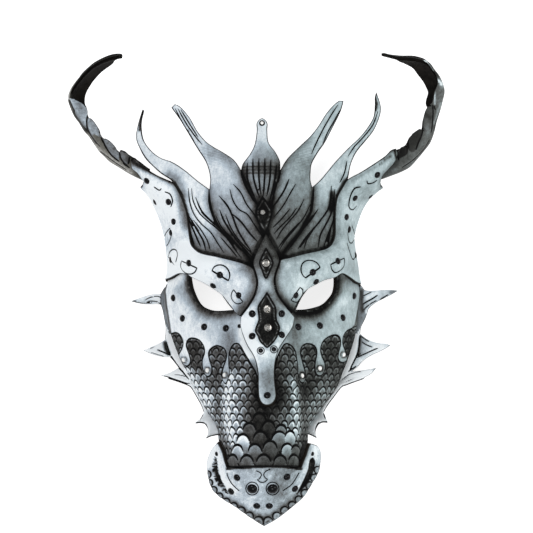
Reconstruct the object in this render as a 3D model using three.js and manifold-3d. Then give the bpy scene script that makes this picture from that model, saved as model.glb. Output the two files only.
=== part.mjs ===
// A dragon mask of moulded leather, lying on its back: +X to the right as the photograph shows it,
// +Y towards the horns, +Z out of the face. Millimetres.
import * as THREE from "three";
import { mergeVertices } from "three/addons/utils/BufferGeometryUtils.js";
import Module from "manifold-3d";

const wasm = await Module();
wasm.setup();

const leather = 2.8; // thickness of every piece
const gap = 0.35; // between two pieces that touch
const layer = leather + gap; // from one layer of leather to the next

// The outlines are drawn as the photograph shows them, in the plane `plane` millimetres up, from an
// eye this high over the middle of the picture. What lies nearer the eye looks larger.
const eye = new THREE.Vector3(1.9, 17.9, 2200);
const plane = 60;

const lowest = -60; // every piece lies between these two heights
const highest = 260;
const slitDepth = 1.6; // of the two slits in the cap over the nose
const browFoot = 12; // height of the brow's edge on the side of the mask
const frillHeight = 7; // of the frills over the rim of the cheek
const frillRise = 0.22; // that the fins lift towards their tips
const studRise = 0.6; // height of a dome over its radius

// Solids

function solidOf(geometry) {
  const g = geometry.clone();
  g.deleteAttribute("normal");
  g.deleteAttribute("uv");
  const merged = mergeVertices(g, 1e-4);
  return new wasm.Manifold(
    new wasm.Mesh({
      numProp: 3,
      vertProperties: new Float32Array(merged.attributes.position.array),
      triVerts: new Uint32Array(merged.index.array),
    }),
  );
}

function geometryOf(solid) {
  const { vertProperties, triVerts, numProp } = solid.getMesh();
  const count = vertProperties.length / numProp;
  const position = new Float32Array(count * 3);
  for (let i = 0; i < count; i++)
    position.set(vertProperties.subarray(i * numProp, i * numProp + 3), i * 3);
  return new THREE.BufferGeometry()
    .setAttribute("position", new THREE.BufferAttribute(position, 3))
    .setIndex(new THREE.BufferAttribute(new Uint32Array(triVerts), 1));
}

// Moves every vertex along its sight line, so that the outlines seen from the eye stay as drawn.
function drawnBack(geometry) {
  const p = geometry.attributes.position;
  for (let i = 0; i < p.count; i++) {
    const k = (eye.z - p.getZ(i)) / (eye.z - plane);
    p.setXY(i, eye.x + (p.getX(i) - eye.x) * k, eye.y + (p.getY(i) - eye.y) * k);
  }
  return geometry;
}

// The points of surface(a, b) over a in rows and b in columns, each with its normal. It faces out when
// a goes up +Y and b along +X.
function lattice(surface, rows, columns) {
  const points = [];
  for (let i = 0; i <= rows; i++)
    points.push(
      Array.from({ length: columns + 1 }, (_, j) => surface(i / rows, j / columns)),
    );
  const at = (i, j) =>
    points[Math.min(Math.max(i, 0), rows)][Math.min(Math.max(j, 0), columns)];
  return points.map((row, i) =>
    row.map((point, j) => {
      const across = at(i, j + 1).clone().sub(at(i, j - 1));
      const up = at(i + 1, j).clone().sub(at(i - 1, j));
      return { point, normal: across.cross(up).normalize() };
    }),
  );
}

// A closed slab over a lattice, or over its rows and columns from one number to another, between two
// distances along its normals.
function slab(net, inner, outer, rowSpan = [0, net.length - 1], columnSpan = [0, net[0].length - 1]) {
  const rows = rowSpan[1] - rowSpan[0];
  const columns = columnSpan[1] - columnSpan[0];
  const position = [];
  for (const offset of [outer, inner])
    for (let i = 0; i <= rows; i++)
      for (let j = 0; j <= columns; j++) {
        const { point, normal } = net[rowSpan[0] + i][columnSpan[0] + j];
        position.push(...normal.clone().multiplyScalar(offset).add(point));
      }
  const wide = columns + 1;
  const back = (rows + 1) * wide;
  const index = [];
  const quad = (a, b, c, d) => index.push(a, b, c, a, c, d);
  for (let i = 0; i < rows; i++)
    for (let j = 0; j < columns; j++) {
      const k = i * wide + j;
      quad(k, k + 1, k + wide + 1, k + wide);
      quad(back + k, back + k + wide, back + k + wide + 1, back + k + 1);
    }
  for (let j = 0; j < columns; j++) {
    const top = rows * wide + j;
    quad(j, back + j, back + j + 1, j + 1);
    quad(top, top + 1, back + top + 1, back + top);
  }
  for (let i = 0; i < rows; i++) {
    const left = i * wide;
    const right = left + columns;
    quad(left, left + wide, back + left + wide, back + left);
    quad(right, back + right, back + right + wide, right + wide);
  }
  return solidOf(
    new THREE.BufferGeometry()
      .setAttribute("position", new THREE.Float32BufferAttribute(position, 3))
      .setIndex(index),
  );
}

function prism(points, from = lowest, to = highest) {
  const shape = new THREE.Shape(points.map(([x, y]) => new THREE.Vector2(x, y)));
  return solidOf(
    new THREE.ExtrudeGeometry(shape, {
      depth: to - from,
      bevelEnabled: false,
      steps: 1,
    }).translate(0, 0, from),
  );
}

// Outlines

// A smooth line through the points, cut about every `step` millimetres.
function smooth(points, step = 7) {
  const curve = new THREE.SplineCurve(
    points.map(([x, y]) => new THREE.Vector2(x, y)),
  );
  const parts = Math.max(1, Math.round(curve.getLength() / step));
  return curve.getSpacedPoints(parts).map((p) => [p.x, p.y]);
}

// A closed outline of smooth runs that meet at corners.
function outline(runs, step) {
  return runs.flatMap((run) => smooth(run, step).slice(0, -1));
}

function grown(points, distance) {
  let area = 0;
  points.forEach(([x, y], i) => {
    const [nx, ny] = points[(i + 1) % points.length];
    area += x * ny - nx * y;
  });
  const side = Math.sign(area);
  return points.map(([x, y], i) => {
    const [ax, ay] = points[(i + points.length - 1) % points.length];
    const [bx, by] = points[(i + 1) % points.length];
    const length = Math.hypot(bx - ax, by - ay) || 1;
    return [
      x + (side * distance * (by - ay)) / length,
      y - (side * distance * (bx - ax)) / length,
    ];
  });
}

// The face as one smooth surface: every layer of leather follows it

// Value of a smooth curve through rows of [at, value], at rising or falling `at`.
function along(rows, at, column = 1) {
  const n = rows.length;
  if (at >= rows[0][0]) return rows[0][column];
  if (at <= rows[n - 1][0]) return rows[n - 1][column];
  let i = 0;
  while (rows[i + 1][0] > at) i++;
  const slope = (k) =>
    k <= 0 || k >= n - 1
      ? 0
      : (rows[k + 1][column] - rows[k - 1][column]) / (rows[k + 1][0] - rows[k - 1][0]);
  const h = rows[i + 1][0] - rows[i][0];
  const t = (at - rows[i][0]) / h;
  const a = rows[i][column];
  const b = rows[i + 1][column];
  return (
    a * (1 + 2 * t) * (1 - t) ** 2 +
    b * t * t * (3 - 2 * t) +
    h * (slope(i) * t * (1 - t) ** 2 - slope(i + 1) * t * t * (1 - t))
  );
}

// Going down the face: height on the page, left edge, right edge, height of the middle, height of
// the rim, and how square the section is.
const face = [
  [156, -122, 120, 34, 20, 2.2],
  [120, -118, 116, 43, 21, 2.2],
  [100, -113, 112, 49, 22, 2.3],
  [92, -106, 104, 51, 20, 2.3],
  [82, -95, 91.5, 54, 15, 2.4],
  [74, -86, 80.5, 56, 10, 2.5],
  [66, -82, 74.5, 58, 4, 2.5],
  [57, -78, 70.5, 60, -2, 2.6],
  [40, -73, 66, 63, -2, 2.6],
  [18, -71, 69, 64, -2, 2.6],
  [9, -72.5, 70.5, 64, -2, 2.6],
  [-3, -76.5, 73, 64, -2, 2.6],
  [-14, -76, 72, 65, -2, 2.6],
  [-33, -71.4, 70, 67, -2, 2.6],
  [-53, -64, 64, 71, -2, 2.6],
  [-62, -59, 60.5, 74, -2, 2.6],
  [-75, -53, 55, 79, 6, 2.6],
  [-93, -43.3, 42, 87, 22, 2.8],
  [-104, -36.5, 34.5, 92, 34, 3],
  [-115, -34.5, 33.5, 96, 45, 3],
  [-123, -32.6, 32, 100, 52, 3],
  [-134, -29.6, 29, 104, 60, 3],
];

const browLines = [
  [
    [-13.7, -9.9], [-21.3, 4.6], [-33.4, 12.9], [-52.4, 19], [-65.4, 31.9],
    [-69.2, 49.4], [-73, 66], [-80.6, 77.5], [-90.4, 89.7], [-100, 96.5],
  ],
  [
    [15.2, -7.6], [21.3, 3], [35, 14.4], [54, 20.5], [61, 32],
    [62, 53.2], [66.9, 70], [75.2, 82], [86.6, 92.7], [97.3, 101],
  ],
];
const browRise = [
  [110, 5],
  [60, 7],
  [15, 9.5],
  [-12, 8],
];
const browWidth = 8;
const noseRise = [
  [70, 0],
  [40, 4],
  [10, 9],
  [-15, 13],
  [-35, 13],
  [-60, 4],
  [-80, 0],
];
const noseWidth = [
  [40, 10],
  [0, 11],
  [-30, 17],
  [-60, 22],
];
const muzzleRise = [
  [-28, 0],
  [-50, 9],
  [-75, 19],
  [-105, 21],
  [-134, 20],
];
const muzzleHalf = [ // from the middle to where its sides start to fall
  [-30, 19],
  [-60, 26],
  [-85, 30],
  [-110, 29],
  [-134, 27],
];
const muzzleShoulder = 5; // past that, to the middle of the fall
const muzzleFall = 10;
const ridgeAt = 24; // from the middle to each ridge of the muzzle
const ridgeRise = 4;
const ridgeWidth = 5;
const ridgeStart = -45; // height on the page where the ridges and the valley start
const ridgeGrowth = 30;
const valleyDepth = 4;
const valleyWidth = 10;
const valleyEnd = -140;
const valleyFade = 25;
const eyeMiddles = [
  [-44, -10],
  [41, -10],
];
const socketDepth = 7;
const socketWidth = 21;
const socketHeight = 9;

const bell = (t) => Math.exp(-0.5 * t * t);
const step01 = (t) => {
  const k = Math.min(Math.max(t, 0), 1);
  return k * k * (3 - 2 * k);
};

function nearest(line, x, y) {
  let best = Infinity;
  for (let i = 0; i + 1 < line.length; i++) {
    const [ax, ay] = line[i];
    const [bx, by] = line[i + 1];
    const t = Math.min(
      Math.max(
        ((x - ax) * (bx - ax) + (y - ay) * (by - ay)) /
          ((bx - ax) ** 2 + (by - ay) ** 2),
        0,
      ),
      1,
    );
    best = Math.min(best, Math.hypot(x - ax - t * (bx - ax), y - ay - t * (by - ay)));
  }
  return best;
}

// What the brows, nose, muzzle and eye sockets add to the plain section.
function relief(x, y) {
  let z = along(noseRise, y) * bell((x - 1) / along(noseWidth, y));
  const rise = along(muzzleRise, y);
  if (rise > 0) {
    const half = along(muzzleHalf, y);
    z += rise * step01((half + muzzleShoulder - Math.abs(x)) / muzzleFall);
    const fade = step01((ridgeStart - y) / ridgeGrowth);
    z += fade * ridgeRise * bell((Math.abs(x) - ridgeAt) / ridgeWidth);
    z -= fade * valleyDepth * bell(x / valleyWidth) * step01((y - valleyEnd) / valleyFade);
  }
  const brow = along(browRise, y);
  for (const line of browLines) z += brow * bell(nearest(line, x, y) / browWidth);
  for (const [ex, ey] of eyeMiddles)
    z -= socketDepth * bell((x - ex) / socketWidth) * bell((y - ey) / socketHeight);
  return z;
}

// The section of the face at height y on the page, as evenly spaced points from left to right.
const sections = new Map();
function section(y) {
  if (sections.has(y)) return sections.get(y);
  const [left, right, middle, rim, square] = [1, 2, 3, 4, 5].map((c) =>
    along(face, y, c),
  );
  const centre = (left + right) / 2;
  const half = (right - left) / 2;
  const points = [];
  const fine = 360;
  for (let i = 0; i <= fine; i++) {
    const angle = (i / fine - 0.5) * Math.PI;
    const s = Math.sign(angle) * Math.abs(Math.sin(angle)) ** (2 / square);
    const c = Math.max(Math.cos(angle), 0) ** (2 / square);
    const x = centre + half * s;
    points.push(
      new THREE.Vector3(x, y, rim + (middle - rim) * c + relief(x, y) * Math.min(1, 2 * c)),
    );
  }
  const reach = [0];
  for (let i = 1; i <= fine; i++)
    reach.push(reach[i - 1] + points[i].distanceTo(points[i - 1]));
  const made = { points, reach };
  sections.set(y, made);
  return made;
}

function faceAt(y, share) {
  const { points, reach } = section(y);
  const wanted = share * reach[reach.length - 1];
  let lo = 0;
  let hi = reach.length - 1;
  while (hi - lo > 1) {
    const mid = (lo + hi) >> 1;
    if (reach[mid] <= wanted) lo = mid;
    else hi = mid;
  }
  const t = (wanted - reach[lo]) / (reach[hi] - reach[lo] || 1);
  return points[lo].clone().lerp(points[hi], t);
}

// One lattice for every layer, so that their facets run side by side.
const faceFoot = -134.2;
const faceTop = 154;
const faceRows = 28;
const faceColumns = 22;
const faceNet = lattice(
  (a, b) => faceAt(faceFoot + a * (faceTop - faceFoot), b),
  faceRows,
  faceColumns,
);
const rowOf = (y) => ((y - faceFoot) / (faceTop - faceFoot)) * faceRows;

// A layer of leather over the face, from one height on the page to another, between two columns.
function overFace(low, high, from, to, level) {
  const rowSpan = [Math.max(0, Math.floor(rowOf(low))), Math.min(faceRows, Math.ceil(rowOf(high)))];
  return slab(faceNet, level * layer - leather, level * layer, rowSpan, [from, to]);
}

// All the room under a height.
const far = 300;
const under = (z) => prism([[-far, -far], [far, -far], [far, far], [-far, far]], -far, z);

// Forehead with its five flames

const crestOutline = outline(
  [
    [[-66, 82], [-70, 83.5], [-79, 89.5], [-88, 98], [-94, 107], [-97.5, 115.5], [-96.5, 124],
      [-94.5, 131.5], [-92.5, 137.5]],
    [[-92.5, 137.5], [-91.5, 136.5], [-93, 130.5], [-93.5, 124], [-92, 115], [-86.5, 107], [-79, 101],
      [-70, 97.5], [-60, 91], [-51, 83.5], [-42, 77]],
    [[-42, 77], [-41, 83.5], [-42, 91], [-45, 99], [-51, 108.5], [-58, 120], [-64, 130],
      [-70.5, 139]],
    [[-70.5, 139], [-68, 141.5]],
    [[-68, 141.5], [-65, 140.5], [-61.5, 137.5], [-56, 130.5], [-51, 121.5],
      [-45, 114], [-39, 109.5], [-32, 105.5], [-25, 101], [-21.5, 97.5], [-17.5, 92]],
    [[-17.5, 92], [-16, 96.5], [-10.5, 104], [-7, 111.5], [-5.5, 121.5], [-5.5, 127.5],
      [-1.5, 131], [2.5, 127.5], [2.5, 121.5], [3.5, 112.5], [8.5, 105.5], [12, 98.5], [12.5, 92]],
    [[12.5, 92], [18, 100.5], [27.5, 110], [35, 117], [41, 124.5], [47, 134], [52.5, 140.5],
      [57, 144.2]],
    [[57, 144.2], [60.5, 144]],
    [[60.5, 144], [60, 141.5], [58, 135.5], [52.5, 124.5], [46.5, 113], [41, 105], [36.5, 96.5],
      [35.5, 89.5], [35.5, 83.5], [37, 78.5]],
    [[37, 78.5], [42.5, 83.5], [48.5, 90.5], [55.5, 99], [64, 108], [73, 116.5], [79, 124],
      [83.5, 132], [84.5, 140.5], [84.5, 146.5], [85.5, 150.5]],
    [[85.5, 150.5], [88, 143.5], [89, 137.5], [87.5, 130.5], [83.5, 121.5], [77.5, 114],
      [70.5, 105.5], [66, 96.5], [63, 85], [60, 80]],
    [[60, 80], [60, 60], [53, 38], [46, 25]],
    [[46, 25], [22, 13], [10, 5], [1, 1], [-8, 5], [-20, 13], [-50, 24]],
    [[-50, 24], [-58, 38], [-66, 60], [-66, 82]],
  ],
  9,
);

// Nose plate, from the forehead over the bridge of the nose, ending in a drip

const plateOutline = outline([
  [[1.5, 43.5], [-4, 33.5], [-7.5, 25], [-8.5, 20], [-6, 11.5], [-5, 5.5], [-6.5, -2.5],
    [-11.5, -11.5], [-18, -20.5]],
  [[-18, -20.5], [-18, -29], [-13.5, -41], [-7.5, -51.5], [-4.8, -62.5], [-4.5, -74.5],
    [-3.8, -82], [-1, -86.5], [3, -87.5], [7, -85.5], [9.3, -80.5], [8.5, -72], [8, -62.5],
    [9, -53], [12, -44], [17.5, -35.5], [22, -28], [23.5, -20.5]],
  [[23.5, -20.5], [16.5, -12], [10, -2.5], [8, 5.5], [8.5, 12], [11.5, 20.5], [11.5, 25],
    [7, 35], [1.5, 43.5]],
]);

// Brows, from beside the nose over the eyes and out to the horns

const browOutlines = [
  outline([
    [[-17.5, -20.5], [-11, -13], [-6, -5.5], [-4, 1], [-4, 5.5], [-5, 10.5], [-8.5, 16.5],
      [-14.5, 20], [-24.5, 23], [-37, 26], [-46.5, 28], [-51.5, 30.5], [-55.5, 35.5], [-57, 44],
      [-58.5, 57], [-61, 66], [-64, 73.5], [-69, 81.5], [-75, 84.5], [-83, 88], [-90.5, 92.5],
      [-95, 97.5], [-99, 101], [-102, 99]],
    [[-102, 99], [-101, 92.5], [-96.5, 88], [-92, 82]],
    [[-92, 82], [-98, 60], [-94, 20], [-80, 7]],
    [[-80, 7], [-72, 9], [-65.5, 12], [-59.5, 11.5], [-54, 8.5], [-46.5, 5], [-39, 0.5],
      [-32, -4.5], [-26, -12], [-21.5, -18], [-17.5, -20.5]],
  ]),
  outline([
    [[22, -17.5], [15, -12], [9, -4.5], [7, 2.5], [7, 9], [9, 16.5], [13, 23], [20, 25],
      [31, 28], [42.5, 30.5], [48.5, 32.5], [52.5, 37], [54, 44], [54, 57], [54.5, 64.5],
      [56, 71.5], [60, 79], [64, 84.5], [73, 89.5], [82, 95], [92, 102], [96.5, 106.5],
      [100.5, 108]],
    [[100.5, 108], [102, 104], [101, 99], [97.5, 94], [90.5, 86.5], [89, 81.5]],
    [[89, 81.5], [92, 60], [88, 20], [80, 3]],
    [[80, 3], [71.5, 5.5], [67, 8.5], [60, 12], [54, 9], [46.5, 7], [39.5, 3.5], [32.5, -0.5],
      [28, -6], [24.5, -12], [22, -17.5]],
  ]),
];
// Eye holes, the upper edge hidden under the brow

const eyeOutlines = [
  outline([
    [[-24, -15], [-28, -10], [-37, 2.5], [-46, 9], [-54, 12], [-56.5, 10], [-56, 5], [-54, -1.5],
      [-50, -9], [-45, -13], [-37, -15.5], [-24, -15]],
  ]),
  outline([
    [[25.5, -14.5], [30, -8], [38, 5], [47, 10], [53, 12], [54.5, 9.5], [54.5, 3], [53, -3],
      [50, -7], [45.5, -10.5], [38.5, -13], [31, -14.5], [25.5, -14.5]],
  ]),
];

// Nose cap

const capOutline = outline([
  [[-35.5, -115.5], [-40.5, -121.5], [-43.5, -129], [-44, -137], [-42.5, -146], [-39, -153],
    [-32.5, -159], [-22, -165.5], [-10.5, -173.5], [0, -180]],
  [[0, -180], [10.5, -174], [21.5, -165.5], [30.5, -157.5], [37, -147.5], [42, -138.5],
    [43.5, -130.5], [43.5, -123], [41, -118.5], [35.5, -116.5]],
  [[35.5, -116.5], [34, -119.5], [31.8, -126], [29.4, -131.5], [28.4, -134.6]],
  [[28.4, -134.6], [19.5, -134.6]],
  [[19.5, -134.6], [18, -128]],
  [[18, -128], [-18, -128]],
  [[-18, -128], [-19.5, -134.6]],
  [[-19.5, -134.6], [-28.4, -134.6]],
  [[-28.4, -134.6], [-29.8, -130.5], [-31.8, -123], [-34, -118.5], [-35.5, -115.5]],
]);
const slitOutlines = [
  outline([
    [[-38, -127], [-36, -128], [-35, -137], [-31.5, -146], [-26.5, -155]],
    [[-26.5, -155], [-32, -152], [-37, -144], [-39.2, -135], [-38, -127]],
  ]),
  outline([
    [[37, -127.5], [38.5, -130.5], [37, -139], [32.5, -147.5], [25, -155]],
    [[25, -155], [29.5, -146], [33.5, -137], [35, -129.5], [37, -127.5]],
  ]),
];
const capStart = -134; // height on the page of the end of the muzzle, where the cap starts to bend
const capTop = 113; // height of the cap's middle there
const capFall = 0.25;
const capBend = 0.009;
const capHalf = 44; // from the middle to the side, which lies `capSide` lower
const capSide = 34;
const capPower = 2.6;

function capHeight(x, y) {
  const down = capStart - y;
  const bend = capBend * down * Math.max(down, 0);
  return capTop - capFall * down - bend - capSide * (Math.abs(x) / capHalf) ** capPower;
}

const capNet = lattice(
  (a, b) => {
    const [left, low, width, height] = [-48, -184, 96, 72];
    const x = left + width * b;
    const y = low + height * a;
    return new THREE.Vector3(x, y, capHeight(x, y));
  },
  8,
  10,
);

// Horns: a strip of leather rolled into a gutter. From the base to the tip: outer edge, inner edge
// as seen, height of the middle, half its depth, and how far the front wall reaches across.
const horns = [
  [
    [-89, 83, -88, 94, 17, 6, 1], [-93.5, 84, -94, 98.5, 21, 8, 1],
    [-101.8, 88, -101, 102, 26, 9.5, 1], [-109.4, 92.7, -105.6, 105.6, 29, 10.5, 1],
    [-117, 97.3, -110.2, 106.4, 31, 11, 1], [-121.6, 101.8, -117, 113.2, 33, 11, 1],
    [-126.2, 106.4, -123.1, 117, 35, 11, 1], [-132.2, 115.5, -125, 121.6, 36, 11, 1],
    [-136.8, 120.8, -128.4, 127, 37, 11, 1], [-140.6, 127, -133, 132.2, 39, 11, 1],
    [-144.4, 132.2, -134.2, 136.8, 41, 11, 1], [-147.4, 139.1, -135, 141.4, 43, 11, 0.95],
    [-149, 144.4, -135.3, 146, 45, 10, 0.3], [-148.6, 149, -134.5, 150.5, 48, 9.5, 0.15],
    [-146.7, 153.5, -131.5, 156.6, 51, 9, 0.12], [-142.9, 158.8, -126.9, 161.9, 54, 8, 0.15],
    [-138.3, 164.2, -122.4, 166.4, 58, 7, 0.12], [-132.2, 169.5, -117, 170.2, 62, 6, 0.12],
    [-124.6, 174.6, -112.5, 173.7, 66, 4.5, 0.12], [-115.5, 177.8, -109.4, 176.3, 70, 3, 0.15],
    [-107.8, 178.4, -107.2, 177.4, 73, 1.4, 0.5],
  ],
  [
    [85, 83, 91, 96, 17, 6, 1], [90.4, 84.5, 96.5, 103, 21, 8, 1],
    [97.3, 87, 101.8, 107.7, 26, 9.5, 1], [104.9, 90, 106.4, 109.8, 29, 10.5, 1],
    [111, 93.5, 109.4, 113.2, 31, 11, 1], [116.3, 99.2, 111.7, 118.2, 33, 11, 1],
    [121.6, 105.6, 116.3, 121.6, 36, 11, 1], [126.2, 111.7, 120, 123.9, 37, 11, 1],
    [129.2, 119.3, 120.8, 130.7, 39, 11, 1], [131.3, 128, 122.4, 136, 41, 11, 1],
    [133.8, 136, 124.6, 140.6, 43, 11, 0.95], [135.7, 142.9, 123.1, 145.2, 45, 10, 0.5],
    [137.3, 151.2, 123.5, 150.5, 48, 9.5, 0.55], [135.6, 158.1, 121.6, 155.8, 51, 9, 0.25],
    [133, 163.4, 118.1, 161.9, 54, 8, 0.15], [129.7, 167.7, 114.8, 166.4, 58, 7.5, 0.12],
    [126.2, 172.5, 111.3, 170.6, 61, 6.5, 0.12], [121.6, 175.9, 107.2, 173.3, 64, 5.5, 0.12],
    [114, 177.8, 102.6, 175.2, 67, 4.5, 0.12], [104.9, 179.4, 97.3, 177.8, 70, 3, 0.15],
    [90.4, 180.5, 90.2, 179.5, 74, 1.4, 0.5],
  ],
];
const backReach = 0.92; // how far the back wall reaches across
const lobeFirst = 2.3; // stations where the lobes start and end
const lobeLast = 11.7;
const lobeLength = 1.85; // in stations
const lobeNotch = 0.28; // how deep the notch between two lobes cuts into the front wall
const lobeSharpness = 5;
const flatShare = 0.3; // of its depth that a front wall keeps where it is cut away
const hornRows = 33;
const hornColumns = 4;

function hornSurface(stations) {
  const curves = [
    new THREE.CatmullRomCurve3(stations.map((s) => new THREE.Vector3(s[0], s[1], s[4]))),
    new THREE.CatmullRomCurve3(stations.map((s) => new THREE.Vector3(s[2], s[3], s[4]))),
  ];
  const rows = stations.map((s, i) => [-i, s[5], s[6]]);
  return (a, b) => {
    const [outer, inner] = curves.map((curve) => curve.getPoint(a));
    const at = a * (stations.length - 1);
    const deep = along(rows, -at, 1);
    let front = Math.min(1, Math.max(0.1, along(rows, -at, 2)));
    const wave = Math.abs(Math.cos((Math.PI * (at - lobeFirst)) / lobeLength));
    if (at > lobeFirst && at < lobeLast) front *= 1 - lobeNotch * wave ** lobeSharpness;
    const angle = Math.PI * (b - 0.5); // from the back edge round the outer side to the front edge
    const width = angle > 0 ? front : backReach;
    const share = width * (1 - Math.cos(angle));
    const p = outer.clone().lerp(inner, share);
    const cut = angle > 0 ? flatShare + (1 - flatShare) * front : 1;
    p.z += deep * Math.sin(angle) * cut;
    return p;
  };
}

// Frills with pointed fins along the rim of each cheek: from the top, height on the page and
// distance out from the cheek. The tip of each fin ends a run.
const frills = [
  [
    [[4, 1.2], [1, 2], [-3.5, 6.5], [-8.5, 23.5]],
    [[-8.5, 23.5], [-9.8, 15], [-11.5, 6], [-16, 2.4], [-29, 2.2], [-36, 6.5], [-44.5, 20.5]],
    [[-44.5, 20.5], [-48, 12], [-53, 5.5], [-58.5, 7.5], [-65, 20.5]],
    [[-65, 20.5], [-67, 12], [-70.5, 5], [-79, 2.4], [-92, 3], [-100, 12.5]],
    [[-100, 12.5], [-103, 6], [-108, 2.5], [-112, 1.2]],
  ],
  [
    [[8, 1.2], [5, 4], [2, 12], [-0.5, 28]],
    [[-0.5, 28], [-4, 18], [-9.5, 8], [-17, 3], [-28, 2.4], [-34.5, 7], [-41, 27]],
    [[-41, 27], [-47, 16], [-53, 9], [-57, 12], [-60, 22]],
    [[-60, 22], [-64, 11], [-69, 5], [-79, 2.4], [-91, 3], [-98.5, 11.5]],
    [[-98.5, 11.5], [-102, 5.5], [-108, 2.5], [-112, 1.2]],
  ],
];
const frillLow = -112; // heights on the page of its two ends
const frillHigh = 4;
const frillStep = 5;
const frillThickness = 0.8 * leather;

function frill(runs, side) {
  const edge = (y) => along(face, y, side < 0 ? 1 : 2);
  const inner = [];
  for (let y = frillLow; y <= frillHigh; y += frillStep) inner.push([y, 2 * gap]);
  const points = [...outline(runs, frillStep), runs.at(-1).at(-1), ...inner].map(([y, out]) => [
    edge(y) + side * out,
    y,
  ]);
  const net = lattice(
    (a, b) => {
      const [inside, low, width, height] = [26, -116, 82, 128];
      const x = (side < 0 ? -inside - width : inside) + width * b;
      const y = low + height * a;
      const out = Math.max(0, (x - edge(y)) * side);
      const z = Math.max(0, along(face, y, 4)) + frillHeight + frillRise * out;
      return new THREE.Vector3(x, y, z);
    },
    10,
    4,
  );
  return slab(net, -frillThickness, 0).intersect(prism(points));
}

// The pieces of leather

const paint = (color, roughness, metalness) =>
  new THREE.MeshStandardMaterial({ color, roughness, metalness });
const silverLeather = paint(0xd3dde3, 0.5, 0.3);
const scaledLeather = paint(0x5d6264, 0.5, 0.35);
const crestLeather = paint(0x8f979c, 0.5, 0.3);
const hornLeather = paint(0x5a5c58, 0.45, 0.35);
const blackStud = paint(0x101012, 0.12, 0.3);
const crystalStud = paint(0xc8ccd0, 0.08, 1);

const root = new THREE.Group();
const pieces = {};
function add(name, solid, material) {
  const mesh = new THREE.Mesh(drawnBack(geometryOf(solid)), material);
  mesh.name = name;
  pieces[name] = mesh;
  root.add(mesh);
}

const crestGap = 0.5; // round the forehead's leather
const plateGap = 0.45; // round the nose plate
const middle = faceColumns / 2;
const plateColumns = 4; // on each side of the middle

add(
  "face_shell",
  overFace(faceFoot, 60, 0, faceColumns, 0)
    .subtract(prism(grown(crestOutline, crestGap)))
    .subtract(prism(eyeOutlines[0]))
    .subtract(prism(eyeOutlines[1]))
    .subtract(under(0)),
  scaledLeather,
);
add(
  "forehead_crest",
  overFace(0, faceTop, 1, faceColumns - 1, 0).intersect(prism(crestOutline)),
  crestLeather,
);
add(
  "nose_plate",
  overFace(-92, 46, middle - plateColumns, middle + plateColumns, 1).intersect(
    prism(plateOutline),
  ),
  silverLeather,
);
const plateCut = prism(grown(plateOutline, plateGap));
["left", "right"].forEach((side, i) => {
  add(
    "brow_" + side,
    overFace(-24, 112, i * middle, (i + 1) * middle, 1)
      .intersect(prism(browOutlines[i]))
      .subtract(plateCut)
      .subtract(under(browFoot)),
    silverLeather,
  );
});
const overSlits = slab(capNet, -slitDepth, highest - capTop);
add(
  "nose_cap",
  slab(capNet, -leather, 0)
    .intersect(prism(capOutline))
    .subtract(overSlits.intersect(prism(slitOutlines[0])))
    .subtract(overSlits.intersect(prism(slitOutlines[1]))),
  silverLeather,
);
["left", "right"].forEach((side, i) => {
  const net = lattice(hornSurface(horns[i]), hornRows, hornColumns);
  // The outside of the right horn is on the other side of its lattice.
  add("horn_" + side, i ? slab(net, 0, leather) : slab(net, -leather, 0), hornLeather);
  add("cheek_frill_" + side, frill(frills[i], i ? 1 : -1), silverLeather);
});

// Domed studs, each seated where the sight line through its place meets the leather

const studs = {
  brow_left_stud: {
    radius: 2.4,
    at: [[-89, 83], [-82.5, 67], [-72.5, 67], [-68.5, 52], [-70.5, 43.5], [-70.5, 23], [-57, 20.5],
      [-33.5, 11.5], [-38.5, 3.5], [-19, -4]],
  },
  brow_right_stud: {
    radius: 2.4,
    at: [[86, 87.5], [80.5, 71.5], [69, 70], [62.5, 55.5], [64.5, 46], [69, 26.5], [56, 22],
      [37, 13.5], [39.5, 6.5], [24, -4]],
  },
  cheek_left_stud: { radius: 2.4, at: [[-69, -6], [-62, -21.5], [-45.5, -28], [-29, -29]] },
  cheek_right_stud: { radius: 2.4, at: [[68.5, -4.5], [60, -21], [42.5, -27], [26, -28]] },
  forehead_crystal: { radius: 2.8, at: [[-1, 59]] },
  nose_crystal: { radius: 2.8, at: [[1.5, 20.5], [2.5, -14.5], [3, -28.5]] },
  nose_stud: { radius: 2.4, at: [[-9, -18], [13.5, -18], [-9, -35], [13.5, -34]] },
  nose_small_stud: { radius: 1.8, at: [[-2.5, -46], [7.5, -45]] },
  drip_stud: { radius: 2.4, at: [[2.5, -80]] },
  crest_stud: { radius: 1.8, at: [[-1.5, 127]] },
  cap_stud: {
    radius: 2.4,
    at: [[-20.5, -142.5], [17.5, -142], [-25, -153], [23.5, -151], [-5.5, -164], [4, -164]],
  },
  nostril_stud: { radius: 3.3, at: [[-9, -151], [6.5, -151]] },
  cap_wing_stud: { radius: 1.7, at: [[-36, -124.5], [36.8, -124.5]] },
};
const domeProfile = [[0, 0], [1, 0], [0.82, 0.65], [0, 1]]; // distance out and up, of the radius
const domeSides = 6;
const rimPoints = 8; // where a stud's seat is tried

const leatherMeshes = Object.values(pieces);
const ray = new THREE.Raycaster();
function seen(x, y) {
  ray.set(eye, new THREE.Vector3(x, y, plane).sub(eye).normalize());
  return ray.intersectObjects(leatherMeshes)[0];
}

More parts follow.
